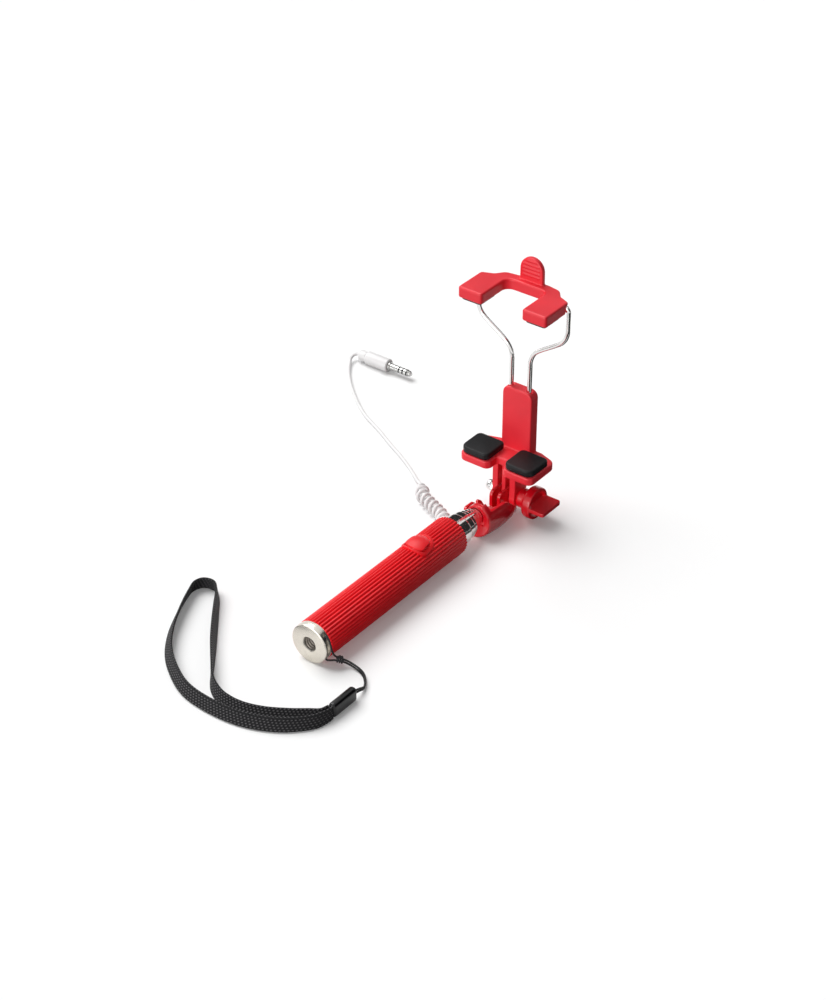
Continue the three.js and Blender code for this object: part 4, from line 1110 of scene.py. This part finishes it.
upper_pad = rounded(box(11.9, 22.5, 137.7, 149.5), 1.4)
pads("upper", "jaw", upper_pad, JAW_Z - 1, JAW_Z + 1, 0.35, 3)

# %% [markdown]
# ## The plug
# A soft boot, a moulded body and a four-pole plug, whose poles are parted by black rings.

# %% Plug
boot = turned("vinyl_plug_boot", PLUG, [
    [0.9, 0], [2.2, 0], [2.7, 0.3], [2.9, 0.9], [2.9, 4.2], [2.6, 4.4], [0, 4.4]], 64)
body = turned("vinyl_plug_body", PLUG, [
    [0, 4.5], [2.7, 4.5], [3.2, 4.7], [3.45, 5.1], [3.5, 5.6], [3.5, 17.6], [3.4, 18.2], [3.0, 18.6],
    [0, 18.7]], 64)
JACK = 19
POLE_EDGES = (6.2, 8.6, 11)
poles = []
for edge in POLE_EDGES:
    poles += [[1.75, edge], [1.55, edge], [1.55, edge + 0.8], [1.75, edge + 0.8]]
pole_profile = [
    [0, 0], [2.2, 0], [2.3, 0.1], [2.3, 0.7], [2.2, 0.8], [1.75, 0.8], *poles, [1.75, 11.9],
    [1.3, 12.1], [1.28, 12.3], [1.5, 12.7], [1.4, 13.1], [0.7, 13.9], [0, 14]]
jack = turned("nickel_jack", PLUG, [[r, JACK + s] for r, s in pole_profile], 48)
for k, edge in enumerate(POLE_EDGES):
    start = JACK + edge + 0.03
    ring = [*box(1.5, 1.72, start, start + 0.74), (1.5, start)]
    band = turned(f"jack_band_{k + 1}", PLUG, ring, 48)
    complete(band, "handle", "black_plastic", BLACK_PLASTIC)
complete(boot, "handle", "white_vinyl", VINYL, "plug_boot")
complete(body, "handle", "white_vinyl", VINYL, "plug_body")
complete(jack, "handle", "nickel", STEEL, "jack_shaft")
grommet = turned("vinyl_grommet", OUTLET, [
    [1.0, -5.4], [1.75, -5.4], [1.75, 1.1], [1.6, 1.45], [1.3, 1.6], [1.0, 1.6], [1.0, -5.4]], 32)
complete(grommet, "handle", "white_vinyl", VINYL, "lead_grommet")

# %% [markdown]
# ## The sleeve and the knot
# The strap's sleeve is a rounded black moulding. Near the cap the wrist cord is tied in a
# small knot, whose wraps are wound as the curls of the lead are.

# %% Sleeve
sleeve_outline = rounded(box(SLEEVE_X - 1.9, SLEEVE_X + 1.9, 0, 7), 1.7)
strap_sleeve = plate("plastic_strap_sleeve", "XZ", sleeve_outline, -23.3, SLEEVE_TOP - GAP, 1.5, 6)
complete(strap_sleeve, "handle", "black_plastic", BLACK_PLASTIC, "strap_sleeve", smooth=60)

# %% Knot
KNOT_RADIUS = 1.35
KNOT_WRAPS = 3
knot_line = [(11.3, 4.5, 4.6), (12.3, 5.3, 4.1), (13.5, 6.2, 3.6)]
knot_route = curls(knot_line, KNOT_RADIUS, KNOT_WRAPS, lead_in=0.35)
knot = tube("cord_knot", knot_route, 0.42 * MM, 10)
complete(knot, "handle", "black_weave", CORD, smooth=60)

# %% [markdown]
# ## The cords
# The lead, the wrist cord and the webbing are free, flexible things, finished as the other pieces are.

# %% Cords
complete(lead, "handle", "white_vinyl", VINYL, "lead_coil", "lead_run", smooth=60)
complete(wrist_cord, "handle", "black_weave", CORD, "strap_cord", smooth=60)
complete(webbing, "handle", "black_weave", WEBBING, "strap_webbing", smooth=60)
at(*GLAND)
route_length(lead_route)
route_length(cord_route)
route_length(webbing_route)

# %% [markdown]
# ## What stays as it is
# The bushes, the switch and its board, the screw and the spring's pin are hidden inside.
# Their solids stay and get a material each.

# %% Hidden pieces
hidden = {f"slide_bush_{k}": NYLON for k in range(2, 8)}
hidden.update(switch_board=BOARD, switch_dome=STEEL, hinge_screw=STEEL, spring_anchor_pin=STEEL)
for name, material in hidden.items():
    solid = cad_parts[name]
    solid.data.materials.clear()
    solid.data.materials.append(material)

# %% [markdown]
# ## Studio
# A pale floor, a white sky, a soft lamp from the upper left and two weaker ones, from the
# front and the back, that throw no shadow. Floor and sky light the piece more weakly than
# they look, so that its far side goes dark. A few dark cards that only reflections see give
# the chrome its dark bands.

# %% Floor
bpy.ops.object.select_all(action="DESELECT")
bpy.ops.mesh.primitive_plane_add(size=6, location=(0, 0, -0.00005))
floor = bpy.context.object
floor.name = "studio_floor"
DIM = 0.24
BRIGHT = 0.98
paper = Finish("paper")
white = paper.mix(paper.seen(), [DIM] * 3, [BRIGHT] * 3)
floor.data.materials.append(paper.shade(white, 0.9, paper.noise(0.4), 0.005,
                                        Specular_IOR_Level=0.1))

# %% Sky
sky = Finish("sky", bpy.data.worlds)
strength = sky.seen() * (1 - DIM) + DIM
background = sky.node("ShaderNodeBackground", {}, {"Color": (1, 1, 1, 1), "Strength": strength})
sky.node("ShaderNodeOutputWorld", {}, {"Surface": background})
bpy.context.scene.world = sky.block

# %% Lamps
def aimed(name, place, aim):
    """Names the new lamp or card and turns its face to a point."""
    made = bpy.context.object
    made.name = name
    made.rotation_euler = (Vector(aim) - Vector(place)).to_track_quat("-Z", "Y").to_euler()
    return made


def lamp(name, place, spread, power, shadow=True):
    """Even light from a wide disc in the sky: spread is its width in degrees."""
    bpy.ops.object.light_add(type="SUN", location=place)
    made = aimed(name, place, (0, 0, 0))
    made.data.angle = math.radians(spread)
    made.data.energy = power
    made.data.use_shadow = shadow


lamp("key", (-0.62, 0.08, 0.95), 50, 2.6)
lamp("front", (-0.15, -0.9, 0.1), 40, 2.0, shadow=False)
lamp("back", (-0.3, 0.9, 0.1), 40, 0.9, shadow=False)

# %% Dark cards
def card(name, place, aim, width, height):
    bpy.ops.mesh.primitive_plane_add(size=1, location=place)
    made = aimed(name, place, aim)
    made.scale = (width, height, 1)
    made.data.materials.append(Finish(name).shade((0.01, 0.01, 0.01), 0.9))
    made.visible_camera = False
    made.visible_shadow = False
    made.visible_diffuse = False


MIDDLE = (0, 0.02, 0.05)
card("card_left", (-0.5, -0.35, 0.35), MIDDLE, 0.16, 0.9)
card("card_right", (0.6, 0.3, 0.35), MIDDLE, 1.1, 0.75)
card("card_low", (0.32, 0.2, 0.002), (0.32, 0.2, 1), 0.36, 0.9)
card("card_grip", (0.076, -0.026, 0.0004), (0.076, -0.026, 1), 0.128, 0.1)
card("card_neck", (0.076, 0.131, 0.0004), (0.076, 0.131, 1), 0.128, 0.15)
card("card_rear", (-0.5, 0.55, 0.3), MIDDLE, 0.14, 0.8)
card("card_behind", at(-125, 375, 158), at(-20, 60, 20), 0.33, 0.255)
